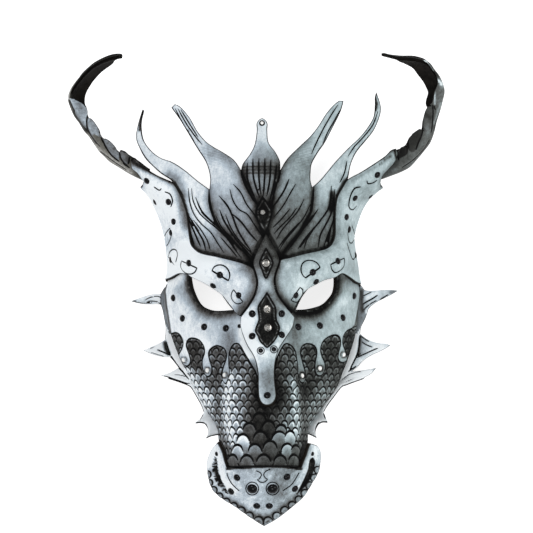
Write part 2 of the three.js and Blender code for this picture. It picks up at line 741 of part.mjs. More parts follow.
function studAt(x, y, radius, name, material) {
  const middleHit = seen(x, y);
  const normal = middleHit.face.normal;
  let seat = 0;
  for (let k = 0; k < rimPoints; k++) {
    const turn = (2 * Math.PI * k) / rimPoints;
    const hit = seen(x + radius * Math.cos(turn), y + radius * Math.sin(turn));
    if (hit && hit.object === middleHit.object)
      seat = Math.max(seat, hit.point.clone().sub(middleHit.point).dot(normal));
  }
  const profile = domeProfile.map(
    ([out, up]) => new THREE.Vector2(out * radius, up * radius * studRise),
  );
  const mesh = new THREE.Mesh(new THREE.LatheGeometry(profile, domeSides), material);
  mesh.name = name;
  mesh.quaternion.setFromUnitVectors(new THREE.Vector3(0, 1, 0), normal);
  mesh.position.copy(middleHit.point).addScaledVector(normal, seat + gap);
  root.add(mesh);
}
for (const [kind, { radius, at }] of Object.entries(studs))
  at.forEach(([x, y], i) =>
    studAt(
      x,
      y,
      radius,
      at.length > 1 ? `${kind}_${i + 1}` : kind,
      kind.endsWith("crystal") ? crystalStud : blackStud,
    ),
  );

// The whole lies on its back with the middle of its box over the origin.
const box = new THREE.Box3().setFromObject(root);
root.position.set(
  -(box.min.x + box.max.x) / 2,
  -(box.min.y + box.max.y) / 2,
  -box.min.z,
);

export default root;
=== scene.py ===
import math

import bpy
import numpy as np
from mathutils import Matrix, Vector, kdtree
from mathutils.geometry import delaunay_2d_cdt


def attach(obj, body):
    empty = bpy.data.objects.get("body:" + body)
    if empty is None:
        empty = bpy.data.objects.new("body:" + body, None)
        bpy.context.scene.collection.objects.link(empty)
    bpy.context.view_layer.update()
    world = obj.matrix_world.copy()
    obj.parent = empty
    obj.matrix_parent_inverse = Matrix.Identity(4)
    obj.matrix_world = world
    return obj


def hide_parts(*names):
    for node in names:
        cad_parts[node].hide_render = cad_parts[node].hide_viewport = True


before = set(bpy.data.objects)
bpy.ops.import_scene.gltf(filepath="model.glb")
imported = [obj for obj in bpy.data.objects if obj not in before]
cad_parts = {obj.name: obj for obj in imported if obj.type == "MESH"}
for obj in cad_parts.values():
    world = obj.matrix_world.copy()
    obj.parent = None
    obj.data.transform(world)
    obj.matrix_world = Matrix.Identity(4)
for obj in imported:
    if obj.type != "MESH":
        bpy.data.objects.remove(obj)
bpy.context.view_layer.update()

# Sizes, in millimetres

leather = 2.8  # thickness of every piece
gap = 0.35  # between two pieces that touch
layer = leather + gap  # from one layer of leather to the next
cut = 0.8  # between the points of a drawn outline or line
rim_cut = 0.9  # between the points of the other rims
sharp = 55  # edges with a greater angle in degrees stay sharp
no_line = 9  # stands for a line that is far away
eye = np.array([1.9, 17.9, 2200.0])  # where the picture is taken from
plane = 60.0
to_middle = np.array([6.0525, -0.5587, 0.0])  # from the page to the middle of the object
pixel = 0.76
page_pixel = np.array([264.0, 290.0])  # the pixel at the page's origin
rounding = 0.9  # of the cut edges
edge_rows = 0.3, 0.9  # rows of points inside a cut edge, so that it can be round
edge_margin = 0.9  # between the edge and the net of points, before its spacing
line_row = 0.65  # rows of points on either side of a tooled line
line_margin = 0.5


def pairs(line):
    """A line as rows of x and y. In this file lines are written as x, y, x, y and so on."""
    return np.reshape(np.asarray(line, float), (-1, 2))


def page(line):
    """Pixels of the picture as millimetres on the page."""
    p = pairs(line)
    return np.stack([(p[:, 0] - page_pixel[0]) * pixel, (page_pixel[1] - p[:, 1]) * pixel], 1)


def pixels(xy):
    """Millimetres on the page as pixels of the picture."""
    return np.stack([xy[:, 0] / pixel + page_pixel[0], page_pixel[1] - xy[:, 1] / pixel], 1)


def enlarged(corner, scale, lines):
    """Lines read off an enlarged part of the picture, as lines on the page."""
    return [page(np.asarray(corner) + pairs(line) / scale) for line in lines]


# Lines

def cubic(a, b, v, w, t):
    """From a with slope v to b with slope w, as t goes from 0 to 1."""
    return (2 * a - 2 * b + v + w) * t**3 + (3 * b - 3 * a - 2 * v - w) * t**2 + v * t + a


def mixed(values, k, t):
    """Between the values at k and at the next number."""
    return values[k] * (1 - t) + values[k + 1] * t


def leftward(way):
    """Steps of one to the left of each direction."""
    return np.stack([-way[:, 1], way[:, 0]], 1) / (np.hypot(*way.T)[:, None] + 1e-9)


def to_stretch(places, a, b):
    """Distance from each place to a stretch from a to b, and how far along it is nearest."""
    d = b - a
    t = np.clip(np.sum((places - a) * d, 1) / (np.sum(d * d, 1) + 1e-12), 0, 1)
    return np.hypot(*(places - a - t[:, None] * d).T), t


def search_tree(points):
    tree = kdtree.KDTree(len(points))
    for i, (x, y) in enumerate(points.tolist()):
        tree.insert((x, y, 0), i)
    tree.balance()
    return tree


def spaced(line, step):
    """A smooth line through the points of a line, cut about every `step` millimetres."""
    p = pairs(line)
    before = np.vstack([p[:1], p[:-1]])[:-1]
    after = np.vstack([p[1:], p[-1:]])[1:]
    a, b = p[:-1], p[1:]
    v, w = (b - before) / 2, (after - a) / 2
    t = np.linspace(0, 1, 12, endpoint=False)[None, :, None]
    fine = cubic(*(k[:, None, :] for k in (a, b, v, w)), t)
    fine = np.vstack([fine.reshape(-1, 2), p[-1:]])
    reach = np.r_[0, np.cumsum(np.hypot(*np.diff(fine, axis=0).T))]
    wanted = np.linspace(0, reach[-1], max(1, round(reach[-1] / step)) + 1)
    return np.stack([np.interp(wanted, reach, fine[:, k]) for k in (0, 1)], 1)


def outline(runs, start=None):
    """An outline of smooth runs that meet at corners. Each run begins where the one before ends:
    the first one at `start`, or in a closed outline where the last one ends."""
    corner = pairs(runs[-1])[-1:] if start is None else start
    out = []
    for run in runs:
        out.append(spaced(np.vstack([corner, pairs(run)]), cut)[:-1])
        corner = pairs(run)[-1:]
    return np.vstack(out)


def closed(line):
    """A line that ends where it begins."""
    p = pairs(line)
    return np.vstack([p, p[:1]])


def grown(loop, distance):
    """A closed loop moved outwards."""
    x, y = loop.T
    side = np.sign(np.sum(x * np.roll(y, -1) - np.roll(x, -1) * y))
    return loop - side * distance * leftward(np.roll(loop, -1, 0) - np.roll(loop, 1, 0))


def within(points, loop):
    """Which points lie inside a closed loop."""
    x, y = points.T
    found = np.zeros(len(points), bool)
    for (ax, ay), (bx, by) in zip(loop, np.roll(loop, -1, 0)):
        if ay != by:
            found ^= ((ay > y) != (by > y)) & (x < (bx - ax) * (y - ay) / (by - ay) + ax)
    return found


class Strokes:
    """Lines with a half width at every point, and how far a place is from the nearest of them."""

    def __init__(self, lines, widths=None, closed=False):
        self.points = np.vstack(lines)
        count = len(self.points)
        self.width = np.zeros(count) if widths is None else np.concatenate(widths)
        self.after, self.before = np.arange(count), np.arange(count)
        at = 0
        for line in lines:
            n = len(line)
            self.after[at : at + n - 1] = np.arange(at + 1, at + n)
            self.before[at + 1 : at + n] = np.arange(at, at + n - 1)
            if closed:
                self.after[at + n - 1], self.before[at] = at, at + n - 1
            at += n
        self.tree = search_tree(self.points)

    def away(self, places):
        """Distance from each place to the edge of the nearest line: below zero on the line."""
        near = np.array([self.tree.find((x, y, 0))[1] for x, y in places.tolist()])
        best = np.full(len(places), np.inf)
        for other in (self.after[near], self.before[near]):
            away, t = to_stretch(places, self.points[near], self.points[other])
            width = self.width[near] * (1 - t) + self.width[other] * t
            best = np.minimum(best, away - width)
        return best


def tapered(line, width, start=0.25, end=0.25):
    """Half widths along a line that thins towards its ends."""
    t = np.linspace(0, 1, len(line))
    return width * np.minimum(1, np.minimum(start + 5 * t, end + 5 * (1 - t)))


def bell(t):
    """One at 0, falling to nothing on both sides."""
    return np.exp(-0.5 * t * t)


def ease(t):
    """From 0 to 1 as t does, with a soft start and end."""
    k = np.clip(t, 0, 1)
    return k * k * (3 - 2 * k)


def along(rows, at, column=1):
    """Value of a smooth curve through rows of [at, value], in which `at` falls."""
    table = np.asarray(rows, float)
    ats, v = table[:, 0], table[:, column]
    slope = np.zeros(len(v))
    slope[1:-1] = (v[2:] - v[:-2]) / (ats[2:] - ats[:-2])
    at = np.clip(np.asarray(at, float), ats[-1], ats[0])
    i = np.clip(np.searchsorted(-ats, -at, side="right") - 1, 0, len(v) - 2)
    h = ats[i + 1] - ats[i]
    t = (at - ats[i]) / h
    return (v[i] * (1 + 2 * t) * (1 - t) ** 2 + v[i + 1] * t * t * (3 - 2 * t)
            + h * (slope[i] * t * (1 - t) ** 2 - slope[i + 1] * t * t * (1 - t)))


def near_line(xy, line):
    """Distance from each place to a short line."""
    best = np.full(len(xy), np.inf)
    line = pairs(line)
    for a, b in zip(line[:-1], line[1:]):
        best = np.minimum(best, to_stretch(xy, a[None], b[None])[0])
    return best


# The face as one smooth surface that every layer of leather follows. Going down the face: place on
# the page, left edge, right edge, height of the middle, height of the rim, and how square the
# section is.

face = [
    [156, -122, 120, 34, 20, 2.2], [120, -118, 116, 43, 21, 2.2], [100, -113, 112, 49, 22, 2.3],
    [92, -106, 104, 51, 20, 2.3], [82, -95, 91.5, 54, 15, 2.4], [74, -86, 80.5, 56, 10, 2.5],
    [66, -82, 74.5, 58, 4, 2.5], [57, -78, 70.5, 60, -2, 2.6], [40, -73, 66, 63, -2, 2.6],
    [18, -71, 69, 64, -2, 2.6], [9, -72.5, 70.5, 64, -2, 2.6], [-3, -76.5, 73, 64, -2, 2.6],
    [-14, -76, 72, 65, -2, 2.6], [-33, -71.4, 70, 67, -2, 2.6], [-53, -64, 64, 71, -2, 2.6],
    [-62, -59, 60.5, 74, -2, 2.6], [-75, -53, 55, 79, 6, 2.6], [-93, -43.3, 42, 87, 22, 2.8],
    [-104, -36.5, 34.5, 92, 34, 3], [-115, -34.5, 33.5, 96, 45, 3],
    [-123, -32.6, 32, 100, 52, 3], [-134, -29.6, 29, 104, 60, 3],
]
brow_lines = [
    [-13.7, -9.9, -21.3, 4.6, -33.4, 12.9, -52.4, 19, -65.4, 31.9, -69.2, 49.4, -73, 66,
     -80.6, 77.5, -90.4, 89.7, -100, 96.5],
    [15.2, -7.6, 21.3, 3, 35, 14.4, 54, 20.5, 61, 32, 62, 53.2, 66.9, 70, 75.2, 82, 86.6, 92.7,
     97.3, 101],
]
brow_rise = [[110, 5], [60, 7], [15, 9.5], [-12, 8]]
brow_width = 8
nose_rise = [[70, 0], [40, 4], [10, 9], [-15, 13], [-35, 13], [-60, 4], [-80, 0]]
nose_width = [[40, 10], [0, 11], [-30, 17], [-60, 22]]
muzzle_rise = [[-28, 0], [-50, 9], [-75, 19], [-105, 21], [-134, 20]]
muzzle_half = [[-30, 19], [-60, 26], [-85, 30], [-110, 29], [-134, 27]]
ridge_at, ridge_rise, valley_depth = 24, 4, 4
eye_middles = [[-44, -10], [41, -10]]
socket_depth = 7
face_low, face_high, face_step, face_parts = -134.5, 156.0, 0.5, 480


def relief(x, y):
    """What the brows, nose, muzzle and eye sockets add to the plain section."""
    z = along(nose_rise, y) * bell((x - 1) / along(nose_width, y))
    rise, half = along(muzzle_rise, y), along(muzzle_half, y)
    fade = ease((-45 - y) / 30)
    muzzle = rise * ease((half + 5 - np.abs(x)) / 10)
    muzzle += fade * ridge_rise * bell((np.abs(x) - ridge_at) / 5)
    muzzle -= fade * valley_depth * bell(x / 10) * ease((y + 140) / 25)
    z += np.where(rise > 0, muzzle, 0)
    xy = np.stack([x.ravel(), y.ravel()], 1)
    for line in brow_lines:
        z += along(brow_rise, y) * bell(near_line(xy, line).reshape(x.shape) / brow_width)
    for ex, ey in eye_middles:
        z -= socket_depth * bell((x - ex) / 21) * bell((y - ey) / 9)
    return z


class Face:
    """The smooth surface of the face. Its flat coordinates are the distance round the section from
    the middle of the nose, and the height on the page."""

    def __init__(self):
        self.y = np.arange(face_low, face_high + face_step / 2, face_step)
        left, right, middle, rim, square = (along(face, self.y, c)[:, None] for c in range(1, 6))
        angle = (np.linspace(0, 1, 721) - 0.5)[None, :] * math.pi
        s = np.sign(angle) * np.abs(np.sin(angle)) ** (2 / square)
        c = np.maximum(np.cos(angle), 0) ** (2 / square)
        x = (left + right) / 2 + (right - left) / 2 * s
        z = rim + (middle - rim) * c
        z = z + relief(x, self.y[:, None] + 0 * x) * np.minimum(1, 2 * c)
        reach = np.cumsum(np.hypot(np.diff(x, prepend=x[:, :1]), np.diff(z, prepend=z[:, :1])), 1)
        self.length = reach[:, -1]
        share = np.linspace(0, 1, face_parts + 1)
        rows = range(len(self.y))
        self.x = np.array([np.interp(share, reach[k] / reach[k, -1], x[k]) for k in rows])
        self.z = np.array([np.interp(share, reach[k] / reach[k, -1], z[k]) for k in rows])
        self.middle = np.array([np.interp(1.0, self.x[k], share) for k in rows])
        place = np.stack([self.x, self.y[:, None] + 0 * self.x, self.z], 2)
        normal = np.cross(np.gradient(place, axis=1), np.gradient(place, axis=0))
        self.normal = normal / np.linalg.norm(normal, axis=2)[:, :, None]
        self.place = place

    def row(self, y):
        at = np.clip((y - face_low) / face_step, 0, len(self.y) - 1.001)
        return at.astype(int), at - at.astype(int)

    def flat(self, xy, foot=None):
        """Flat coordinates of places on the page. What lies outside goes to the rim, or to where
        the surface is `foot` high."""
        out = []
        share = np.linspace(0, 1, face_parts + 1)
        for (x, y), k, t in zip(xy, *self.row(xy[:, 1])):
            s = np.interp(x, mixed(self.x, k, t), share)
            if foot is not None:
                high = np.nonzero(mixed(self.z, k, t) > foot)[0]
                s = min(max(s, share[high[0]]), share[high[-1]])
            out.append([(s - mixed(self.middle, k, t)) * mixed(self.length, k, t), y])
        return np.array(out)

    def under(self, xy, height, foot=None):
        """Flat coordinates below what is seen at a place on the page, `height` over the surface."""
        at = xy
        for _ in range(10):
            place, normal = self(self.flat(at, foot))
            at = at + 0.45 * (xy - (place + normal * height)[:, :2])
        return self.flat(at, foot)

    def __call__(self, flat):
        """Place and normal at flat coordinates."""
        k, t = self.row(flat[:, 1])
        share = flat[:, 0] / mixed(self.length, k, t) + mixed(self.middle, k, t)
        at = np.clip(share * face_parts, 0, face_parts - 0.001)
        j = at.astype(int)
        u, t = (at - j)[:, None], t[:, None]
        found = []
        for grid in (self.place, self.normal):
            low = grid[k, j] * (1 - u) + grid[k, j + 1] * u
            high = grid[k + 1, j] * (1 - u) + grid[k + 1, j + 1] * u
            found.append(low * (1 - t) + high * t)
        found[0][:, 1] = flat[:, 1]
        return found[0], found[1] / np.linalg.norm(found[1], axis=1)[:, None]


def height_surface(height):
    """A surface whose flat coordinates are places on the page, `height` millimetres up."""
    def at(flat):
        step = 0.05
        x, y = flat.T
        z = height(x, y)
        dx = (height(x + step, y) - height(x - step, y)) / (2 * step)
        dy = (height(x, y + step) - height(x, y - step)) / (2 * step)
        normal = np.stack([-dx, -dy, np.ones(len(x))], 1)
        return np.stack([x, y, z], 1), normal / np.linalg.norm(normal, axis=1)[:, None]
    return at


def drawn_back(p):
    """Moves places along their sight lines, so that outlines stay as drawn, and to the object's
    own frame in metres."""
    k = (eye[2] - p[:, 2:3]) / (eye[2] - plane)
    out = np.hstack([eye[:2] + (p[:, :2] - eye[:2]) * k, p[:, 2:3]])
    return (out + to_middle) / 1000


# Sheets of leather

def numbering(kept, count):
    """New numbers of the points that are kept out of a count."""
    order = np.full(count, -1)
    order[kept] = np.arange(len(kept))
    return order


def triangles(points, edges, keep):
    """Triangles over scattered points that respect the edges, where keep(middles) is true, as
    (points, faces) with every face turned the same way."""
    made = delaunay_2d_cdt([Vector(p) for p in points.tolist()], edges, [], 0, 1e-4)
    flat = np.array([tuple(v) for v in made[0]])
    faces = np.array(made[2])
    faces = faces[keep(flat[faces].mean(1))]
    a, b, c = (flat[faces[:, k]] for k in range(3))
    area = (b[:, 0] - a[:, 0]) * (c[:, 1] - a[:, 1]) - (b[:, 1] - a[:, 1]) * (c[:, 0] - a[:, 0])
    faces = faces[np.abs(area) > 1e-7]
    turned = area[np.abs(area) > 1e-7] < 0
    faces[turned] = faces[turned][:, ::-1]
    used = np.unique(faces)
    return flat[used], numbering(used, len(flat))[faces]


def open_edges(faces):
    """Edges that only one face has, in that face's direction."""
    edges = np.vstack([faces[:, [0, 1]], faces[:, [1, 2]], faces[:, [2, 0]]])
    top = edges.max() + 1
    one, other = edges[:, 0] * top + edges[:, 1], edges[:, 1] * top + edges[:, 0]
    return edges[~np.isin(one, other)]


def grid_points(low, high, spacing):
    """A net of even triangles."""
    rise = spacing * math.sqrt(3) / 2
    x = np.arange(low[0], high[0], spacing)
    y = np.arange(low[1], high[1], rise)
    gx, gy = np.meshgrid(x, y)
    gx = gx + 0.5 * spacing * (np.arange(len(y)) % 2)[:, None]
    return np.stack([gx.ravel(), gy.ravel()], 1)


class Edges:
    """A set of edges, and how far a place is from the nearest of them."""

    def __init__(self, points, edges):
        self.a, self.b = points[edges[:, 0]], points[edges[:, 1]]
        self.tree = search_tree((self.a + self.b) / 2)

    def away(self, places):
        near = np.array([[found[1] for found in self.tree.find_n((x, y, 0), 2)]
                         for x, y in places.tolist()])
        return np.min([to_stretch(places, self.a[k], self.b[k])[0] for k in near.T], axis=0)


class Sheet:
    """A piece of leather over a surface: a fine front face with rounded edges, a plainer back and
    closed edges."""

    def __init__(self, surface, loops, spacing, coarse=3.0, strokes=(), finer=None,
                 thickness=leather):
        """The piece lies inside the first loop and outside the others. `finer` is a closer
        spacing and where it holds."""
        def keep(p):
            inside = within(p, loops[0])
            for hole in loops[1:]:
                inside &= ~within(p, hole)
            return inside

        self.surface, self.thickness = surface, thickness
        points, edges = [], []
        for loop in loops:
            n, at = len(loop), sum(len(p) for p in points)
            points.append(loop)
            edges += [(at + i, at + (i + 1) % n) for i in range(n)]
        flat, faces = triangles(np.vstack(points), edges, keep)
        rim = open_edges(faces)
        self.rim = Edges(flat, rim)
        kept = np.unique(rim)
        points = [flat[kept]]
        edges = [tuple(e) for e in numbering(kept, len(flat))[rim].tolist()]
        inwards = leftward(flat[rim[:, 1]] - flat[rim[:, 0]])
        middles = (flat[rim[:, 0]] + flat[rim[:, 1]]) / 2
        for distance in edge_rows:
            ring = middles + distance * inwards
            ring = ring[keep(ring)]
            points.append(ring[self.rim.away(ring) > 0.9 * distance])
        # the tooled lines, and a row of points on either side of each
        count = sum(len(p) for p in points)
        beside = []
        lines = [line for line in strokes if len(line) > 1]
        for line in lines:
            edges += [(count + i, count + i + 1) for i in range(len(line) - 1)]
            points.append(line)
            count += len(line)
            for side in (-line_row, line_row):
                beside.append(line + side * leftward(np.gradient(line, axis=0)))
        marks = Strokes(lines) if lines else None
        if marks:
            rows = np.vstack(beside)
            rows = rows[keep(rows)]
            clear = self.rim.away(rows) > edge_margin + 0.2
            points.append(rows[clear & (marks.away(rows) > line_margin)])
        low, high = flat.min(0), flat.max(0)
        sizes = [(spacing, None)] if finer is None else [(spacing, False), (finer[0], True)]
        for size, wanted in sizes:
            net = grid_points(low, high, size)
            if wanted is not None:
                net = net[finer[1](net) == wanted]
            net = net[keep(net)]
            net = net[self.rim.away(net) > edge_margin + 0.5 * size]
            if marks:
                net = net[marks.away(net) > line_margin + 0.45 * size]
            points.append(net)
        self.flat, self.faces = triangles(np.vstack(points), edges, keep)
        # the back has the same edge and fewer points
        self.open = open_edges(self.faces)
        kept = np.unique(self.open)
        edges = [tuple(e) for e in numbering(kept, len(self.flat))[self.open].tolist()]
        net = grid_points(low, high, coarse)
        net = net[keep(net)]
        net = net[self.rim.away(net) > 0.6 * coarse]
        self.back_flat, self.back_faces = triangles(np.vstack([self.flat[kept], net]), edges, keep)
        find = {tuple(np.round(p, 5)): i for i, p in enumerate(self.back_flat)}
        self.mate = {int(i): find[tuple(np.round(self.flat[i], 5))] for i in kept}
        self.edge = self.rim.away(self.flat)
        self.edge[np.unique(self.open)] = 0
        self.place, self.normal = surface(self.flat)

    def seen(self, offset=0.0):
        """The pixel of the picture at which each point is seen."""
        return pixels((self.place + self.normal * offset)[:, :2])

    def build(self, name, front, inside, attributes, lift, offset=0.0):
        """The finished piece: `front` and `inside` are its two finishes, `offset` the height of its
        face over the surface, and `lift` what is added at each point."""
        d = np.clip(rounding - self.edge, 0, rounding)
        drop = rounding - np.sqrt(rounding**2 - d**2 * 0.98)
        top = self.place + self.normal * (offset + lift - drop)[:, None]
        place, normal = self.surface(self.back_flat)
        under = place + normal * (offset - self.thickness)
        count = len(top)
        walls = []
        for a, b in self.open.tolist():
            c, e = count + self.mate[b], count + self.mate[a]
            walls += [(b, a, e), (b, e, c)]
        faces = np.vstack([self.faces, self.back_faces[:, ::-1] + count, np.array(walls)])
        mesh = bpy.data.meshes.new(name)
        place = drawn_back(np.vstack([top, under]))
        place[:, 2] = np.maximum(place[:, 2], 0)
        mesh.from_pydata(place.tolist(), [], faces.tolist())
        for key, values in attributes.items():
            wide = values.ndim > 1
            filled = np.zeros((len(place), 3) if wide else len(place))
            filled[:count] = values
            if not wide:
                filled[count:] = values.mean()
            kind, field = ("FLOAT_VECTOR", "vector") if wide else ("FLOAT", "value")
            mesh.attributes.new(key, kind, "POINT").data.foreach_set(field, filled.ravel())
        mesh.shade_smooth()
        mesh.set_sharp_from_angle(angle=math.radians(sharp))
        mesh.materials.append(front)
        mesh.materials.append(inside)
        slots = np.ones(len(faces), np.int32)
        slots[: len(self.faces)] = 0
        mesh.polygons.foreach_set("material_index", slots)
        mesh.update()
        piece = bpy.data.objects.new(name, mesh)
        bpy.context.scene.collection.objects.link(piece)
        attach(piece, "root")
        return piece


# Finishes

class Value:
    """A number that varies over a surface. Arithmetic on it adds Math nodes."""

    def __init__(self, finish, socket):
        self.finish, self.socket = finish, socket

    def math(self, operation, *others):
        return self.finish.node("ShaderNodeMath", {"operation": operation}, *others)

    def __add__(self, other): return self.math("ADD", self, other)
    def __radd__(self, other): return self.math("ADD", other, self)
    def __sub__(self, other): return self.math("SUBTRACT", self, other)
    def __rsub__(self, other): return self.math("SUBTRACT", other, self)
    def __mul__(self, other): return self.math("MULTIPLY", self, other)
    def __rmul__(self, other): return self.math("MULTIPLY", other, self)
    def floor(self): return self.math("FLOOR", self)
    def sqrt(self): return self.math("SQRT", self)
    def least(self, other): return self.math("MINIMUM", self, other)
    def most(self, other): return self.math("MAXIMUM", self, other)
    def above(self, other): return self.math("GREATER_THAN", self, other)

    def between(self, low, high, start=0.0, end=1.0):
        """Eases from start to end as the value goes from low to high."""
        return self.finish.node("ShaderNodeMapRange", {"interpolation_type": "SMOOTHSTEP"},
                                self, low, high, start, end)


class Finish:
    """A material with one shader. What stays the same all over is set on it at the start."""

    def __init__(self, name, **fixed):
        self.material = bpy.data.materials.new(name)
        self.material.use_nodes = True
        self.tree = self.material.node_tree
        self.shader = self.tree.nodes["Principled BSDF"]
        for socket, value in fixed.items():
            self.shader.inputs[socket.replace("_", " ")].default_value = value

    def node(self, kind, settings=None, *values, out=0, **named):
        """Adds a node: its settings first, then the values or links of its sockets."""
        made = self.tree.nodes.new(kind)
        for setting, value in (settings or {}).items():
            if setting == "stops":
                stops = made.color_ramp.elements
                for at, colour in value[2:]:
                    stops.new(at)
                for stop, (at, colour) in zip(stops, value):
                    stop.position = at
                for stop, (at, colour) in zip(stops, value):
                    stop.color = (*colour, 1)
            else:
                setattr(made, setting, value)
        for socket, value in [*enumerate(values), *named.items()]:
            target = made.inputs[socket.replace("_", " ") if isinstance(socket, str) else socket]
            if isinstance(value, Value):
                self.tree.links.new(value.socket, target)
            elif value is not None:
                target.default_value = value
        return Value(self, made.outputs[out])

    def attribute(self, name, part="Fac"):
        return self.node("ShaderNodeAttribute", {"attribute_name": name}, out=part)

    def parts(self, vector):
        """The three numbers of a vector."""
        made = self.node("ShaderNodeSeparateXYZ", None, vector)
        return [Value(self, made.socket.node.outputs[k]) for k in range(3)]

    def place(self):
        return self.node("ShaderNodeTexCoord", out="Object")

    def noise(self, size, detail=3.0, roughness=0.5, stretch=None, vector=None):
        """Noise about `size` millimetres across, from 0 to 1."""
        at = vector or self.place()
        if stretch:
            at = self.node("ShaderNodeVectorMath", {"operation": "MULTIPLY"}, at, stretch)
        return self.node("ShaderNodeTexNoise", None, Vector=at, Scale=1000.0 / size, Detail=detail,
                         Roughness=roughness)

    def mix(self, share, a, b):
        """Colour a, or b where share is 1."""
        return self.node("ShaderNodeMix", {"data_type": "RGBA"}, share, *[None] * 5, a, b, out=2)

    def ramp(self, value, *stops):
        return self.node("ShaderNodeValToRGB", {"stops": stops}, value)

    def feed(self, **sockets):
        for socket, value in sockets.items():
            self.tree.links.new(value.socket, self.shader.inputs[socket.replace("_", " ")])

    def bump(self, height, strength=1.0, depth=0.5, under=None):
        """A normal from a height of 0 to 1 that stands for `depth` millimetres."""
        return self.node("ShaderNodeBump", None, Strength=strength, Distance=depth / 1000,
                         Height=height, Normal=under)


def either(method, plain):
    """A function that uses the method of a Value, and works on arrays as `plain` does."""
    return lambda a, *b: getattr(a, method)(*b) if isinstance(a, Value) else plain(a, *b)


whole, root = either("floor", np.floor), either("sqrt", np.sqrt)
most, above = either("most", np.maximum), either("above", lambda a, b: (a > b) * 1.0)


def scale_places(across, down):
    """Rows of round-topped scales, each over the foot of the row above. Returns how far a place is
    below the top of the scale that it is on, how far outside the nearest round top, the column and
    row of its scale, and how far down the row it is, all in scales and rows."""
    row = whole(down)
    t = down - row

    def arch(shift_row):
        shift = shift_row * 0.5 - whole(shift_row * 0.5)
        at = across + shift
        cell = whole(at + 0.5)
        off = at - cell
        rise = 1 - root(most(1 - 4 * off * off, 0.0))
        return off, rise, cell

    off, rise, cell = arch(row)
    above_off, above_rise, above_cell = arch(row + 1)
    own = t - rise
    on = above(own, 0.0)
    below = on * own + (1 - on) * (t + 1 - above_rise)
    edge = root(4 * off * off + (1 - t) * (1 - t)) - 1
    column = on * cell + (1 - on) * (above_cell + 0.37)
    line = on * row + (1 - on) * (row - 1)
    return below, edge, column, line, t


# Colours of the paint from a tone of 0 to one of 1
silver_tones = [
    (0, (0.006, 0.006, 0.006)), (0.18, (0.035, 0.033, 0.031)), (0.38, (0.115, 0.115, 0.115)),
    (0.58, (0.27, 0.3, 0.33)), (0.78, (0.5, 0.57, 0.63)), (1, (0.92, 0.955, 0.97)),
]
green_tones = [
    (0, (0.006, 0.006, 0.006)), (0.18, (0.032, 0.034, 0.031)), (0.38, (0.105, 0.115, 0.11)),
    (0.58, (0.24, 0.29, 0.295)), (0.78, (0.44, 0.53, 0.545)), (1, (0.77, 0.86, 0.87)),
]
pale_tones = [(0.78, (0.72, 0.78, 0.82)), (0.92, (0.97, 0.99, 1.0))]
olive_tones = [
    (0, (0.006, 0.006, 0.005)), (0.18, (0.033, 0.032, 0.028)), (0.38, (0.118, 0.113, 0.098)),
    (0.58, (0.295, 0.285, 0.26)), (0.78, (0.56, 0.56, 0.54)), (1, (0.86, 0.88, 0.88)),
]


def painted(name, scales=False, mottle=0.16, hatch=0.0, pale=False):
    """Silver paint over black leather. The attribute `tone` says how light the paint is, `green`
    how green, and `line` and `edge` how many millimetres the tooled lines and the cut edge are
    away. `cell` places the scales, and `hatch` the dark hatching."""
    f = Finish(name, Specular_IOR_Level=0.04)
    tone, line, edge = f.attribute("tone"), f.attribute("line"), f.attribute("edge")
    clouds = f.noise(11, detail=4, roughness=0.6)
    brushed = f.noise(2.6, detail=3, roughness=0.65, stretch=(1.0, 0.55, 1.0))
    specks = f.noise(0.9, detail=2, roughness=0.6)
    tone = tone + (clouds - 0.5) * (mottle * 2.2) + (brushed - 0.5) * (mottle * 2.4)
    tone = tone + (specks - 0.5) * (mottle * 1.6)
    height = None
    if scales:
        across, down, spread = f.parts(f.attribute("cell", "Vector"))
        warp = f.noise(9, detail=1)
        other = f.noise(8, detail=1, vector=f.node(
            "ShaderNodeVectorMath", {"operation": "ADD"}, f.place(), (0.3, 0.1, 0.2)))
        below, ahead, column, row, low = scale_places(
            across + (warp - 0.5) * 0.55, down + (other - 0.5) * 0.5)
        chance = f.node("ShaderNodeTexWhiteNoise", {"noise_dimensions": "2D"}, f.node(
            "ShaderNodeCombineXYZ", None, column, row), out="Value")
        # The dark arc over each scale's top is partly black paint and partly painted shadow of the
        # scale above; the lip under each arc is a painted highlight; the body is painted shade that
        # deepens towards the scale's foot, under the next row.
        dark = ahead.between(-0.30, -0.22) * ahead.between(-0.03, 0.03, 1.0, 0.0)
        dark = dark * low.between(0.45, 0.95, 1.0, 0.25)
        lip_highlight = ahead.between(-0.62, -0.44) * ahead.between(-0.36, -0.28, 1.0, 0.0)
        body = below.between(0.15, 1.4, 1.0, 0.0)
        scaled = tone * (0.80 + 0.42 * body) + (chance - 0.5) * 0.12 * tone.between(0.0, 0.3)
        scaled = scaled + lip_highlight * tone * 0.42
        scaled = scaled * (1 - dark * 0.96)
        tone = tone * (1 - spread) + scaled * spread
        height = (0.5 * below.between(0.0, 0.2) - 0.5 * below.between(0.2, 1.5)) * spread
    if hatch:
        tone = tone * (1 - hatch * f.attribute("hatch"))
    tone = tone * line.between(0.0, 0.2, 0.0, 1.0)
    tone = tone - line.between(0.1, 1.8, 0.04, 0.0)
    tone = tone * edge.between(0.3, 0.95, 0.12, 1.0)
    tone = tone.most(0.0).least(1.0)
    silver = [*silver_tones[:4], *pale_tones] if pale else silver_tones
    green = f.attribute("green")
    f.feed(Base_Color=f.mix(green, f.ramp(tone, *silver), f.ramp(tone, *green_tones)))
    f.feed(Roughness=tone.between(0.0, 0.4, 1.0, 0.55) + (specks - 0.5) * 0.2)
    grain = f.noise(0.7, detail=3, roughness=0.6) * 0.5 + brushed * 0.5
    normal = f.bump(grain, strength=0.35, depth=0.12)
    if height:
        normal = f.bump(height, strength=0.9, depth=0.55, under=normal)
    f.feed(Normal=normal)
    return f.material


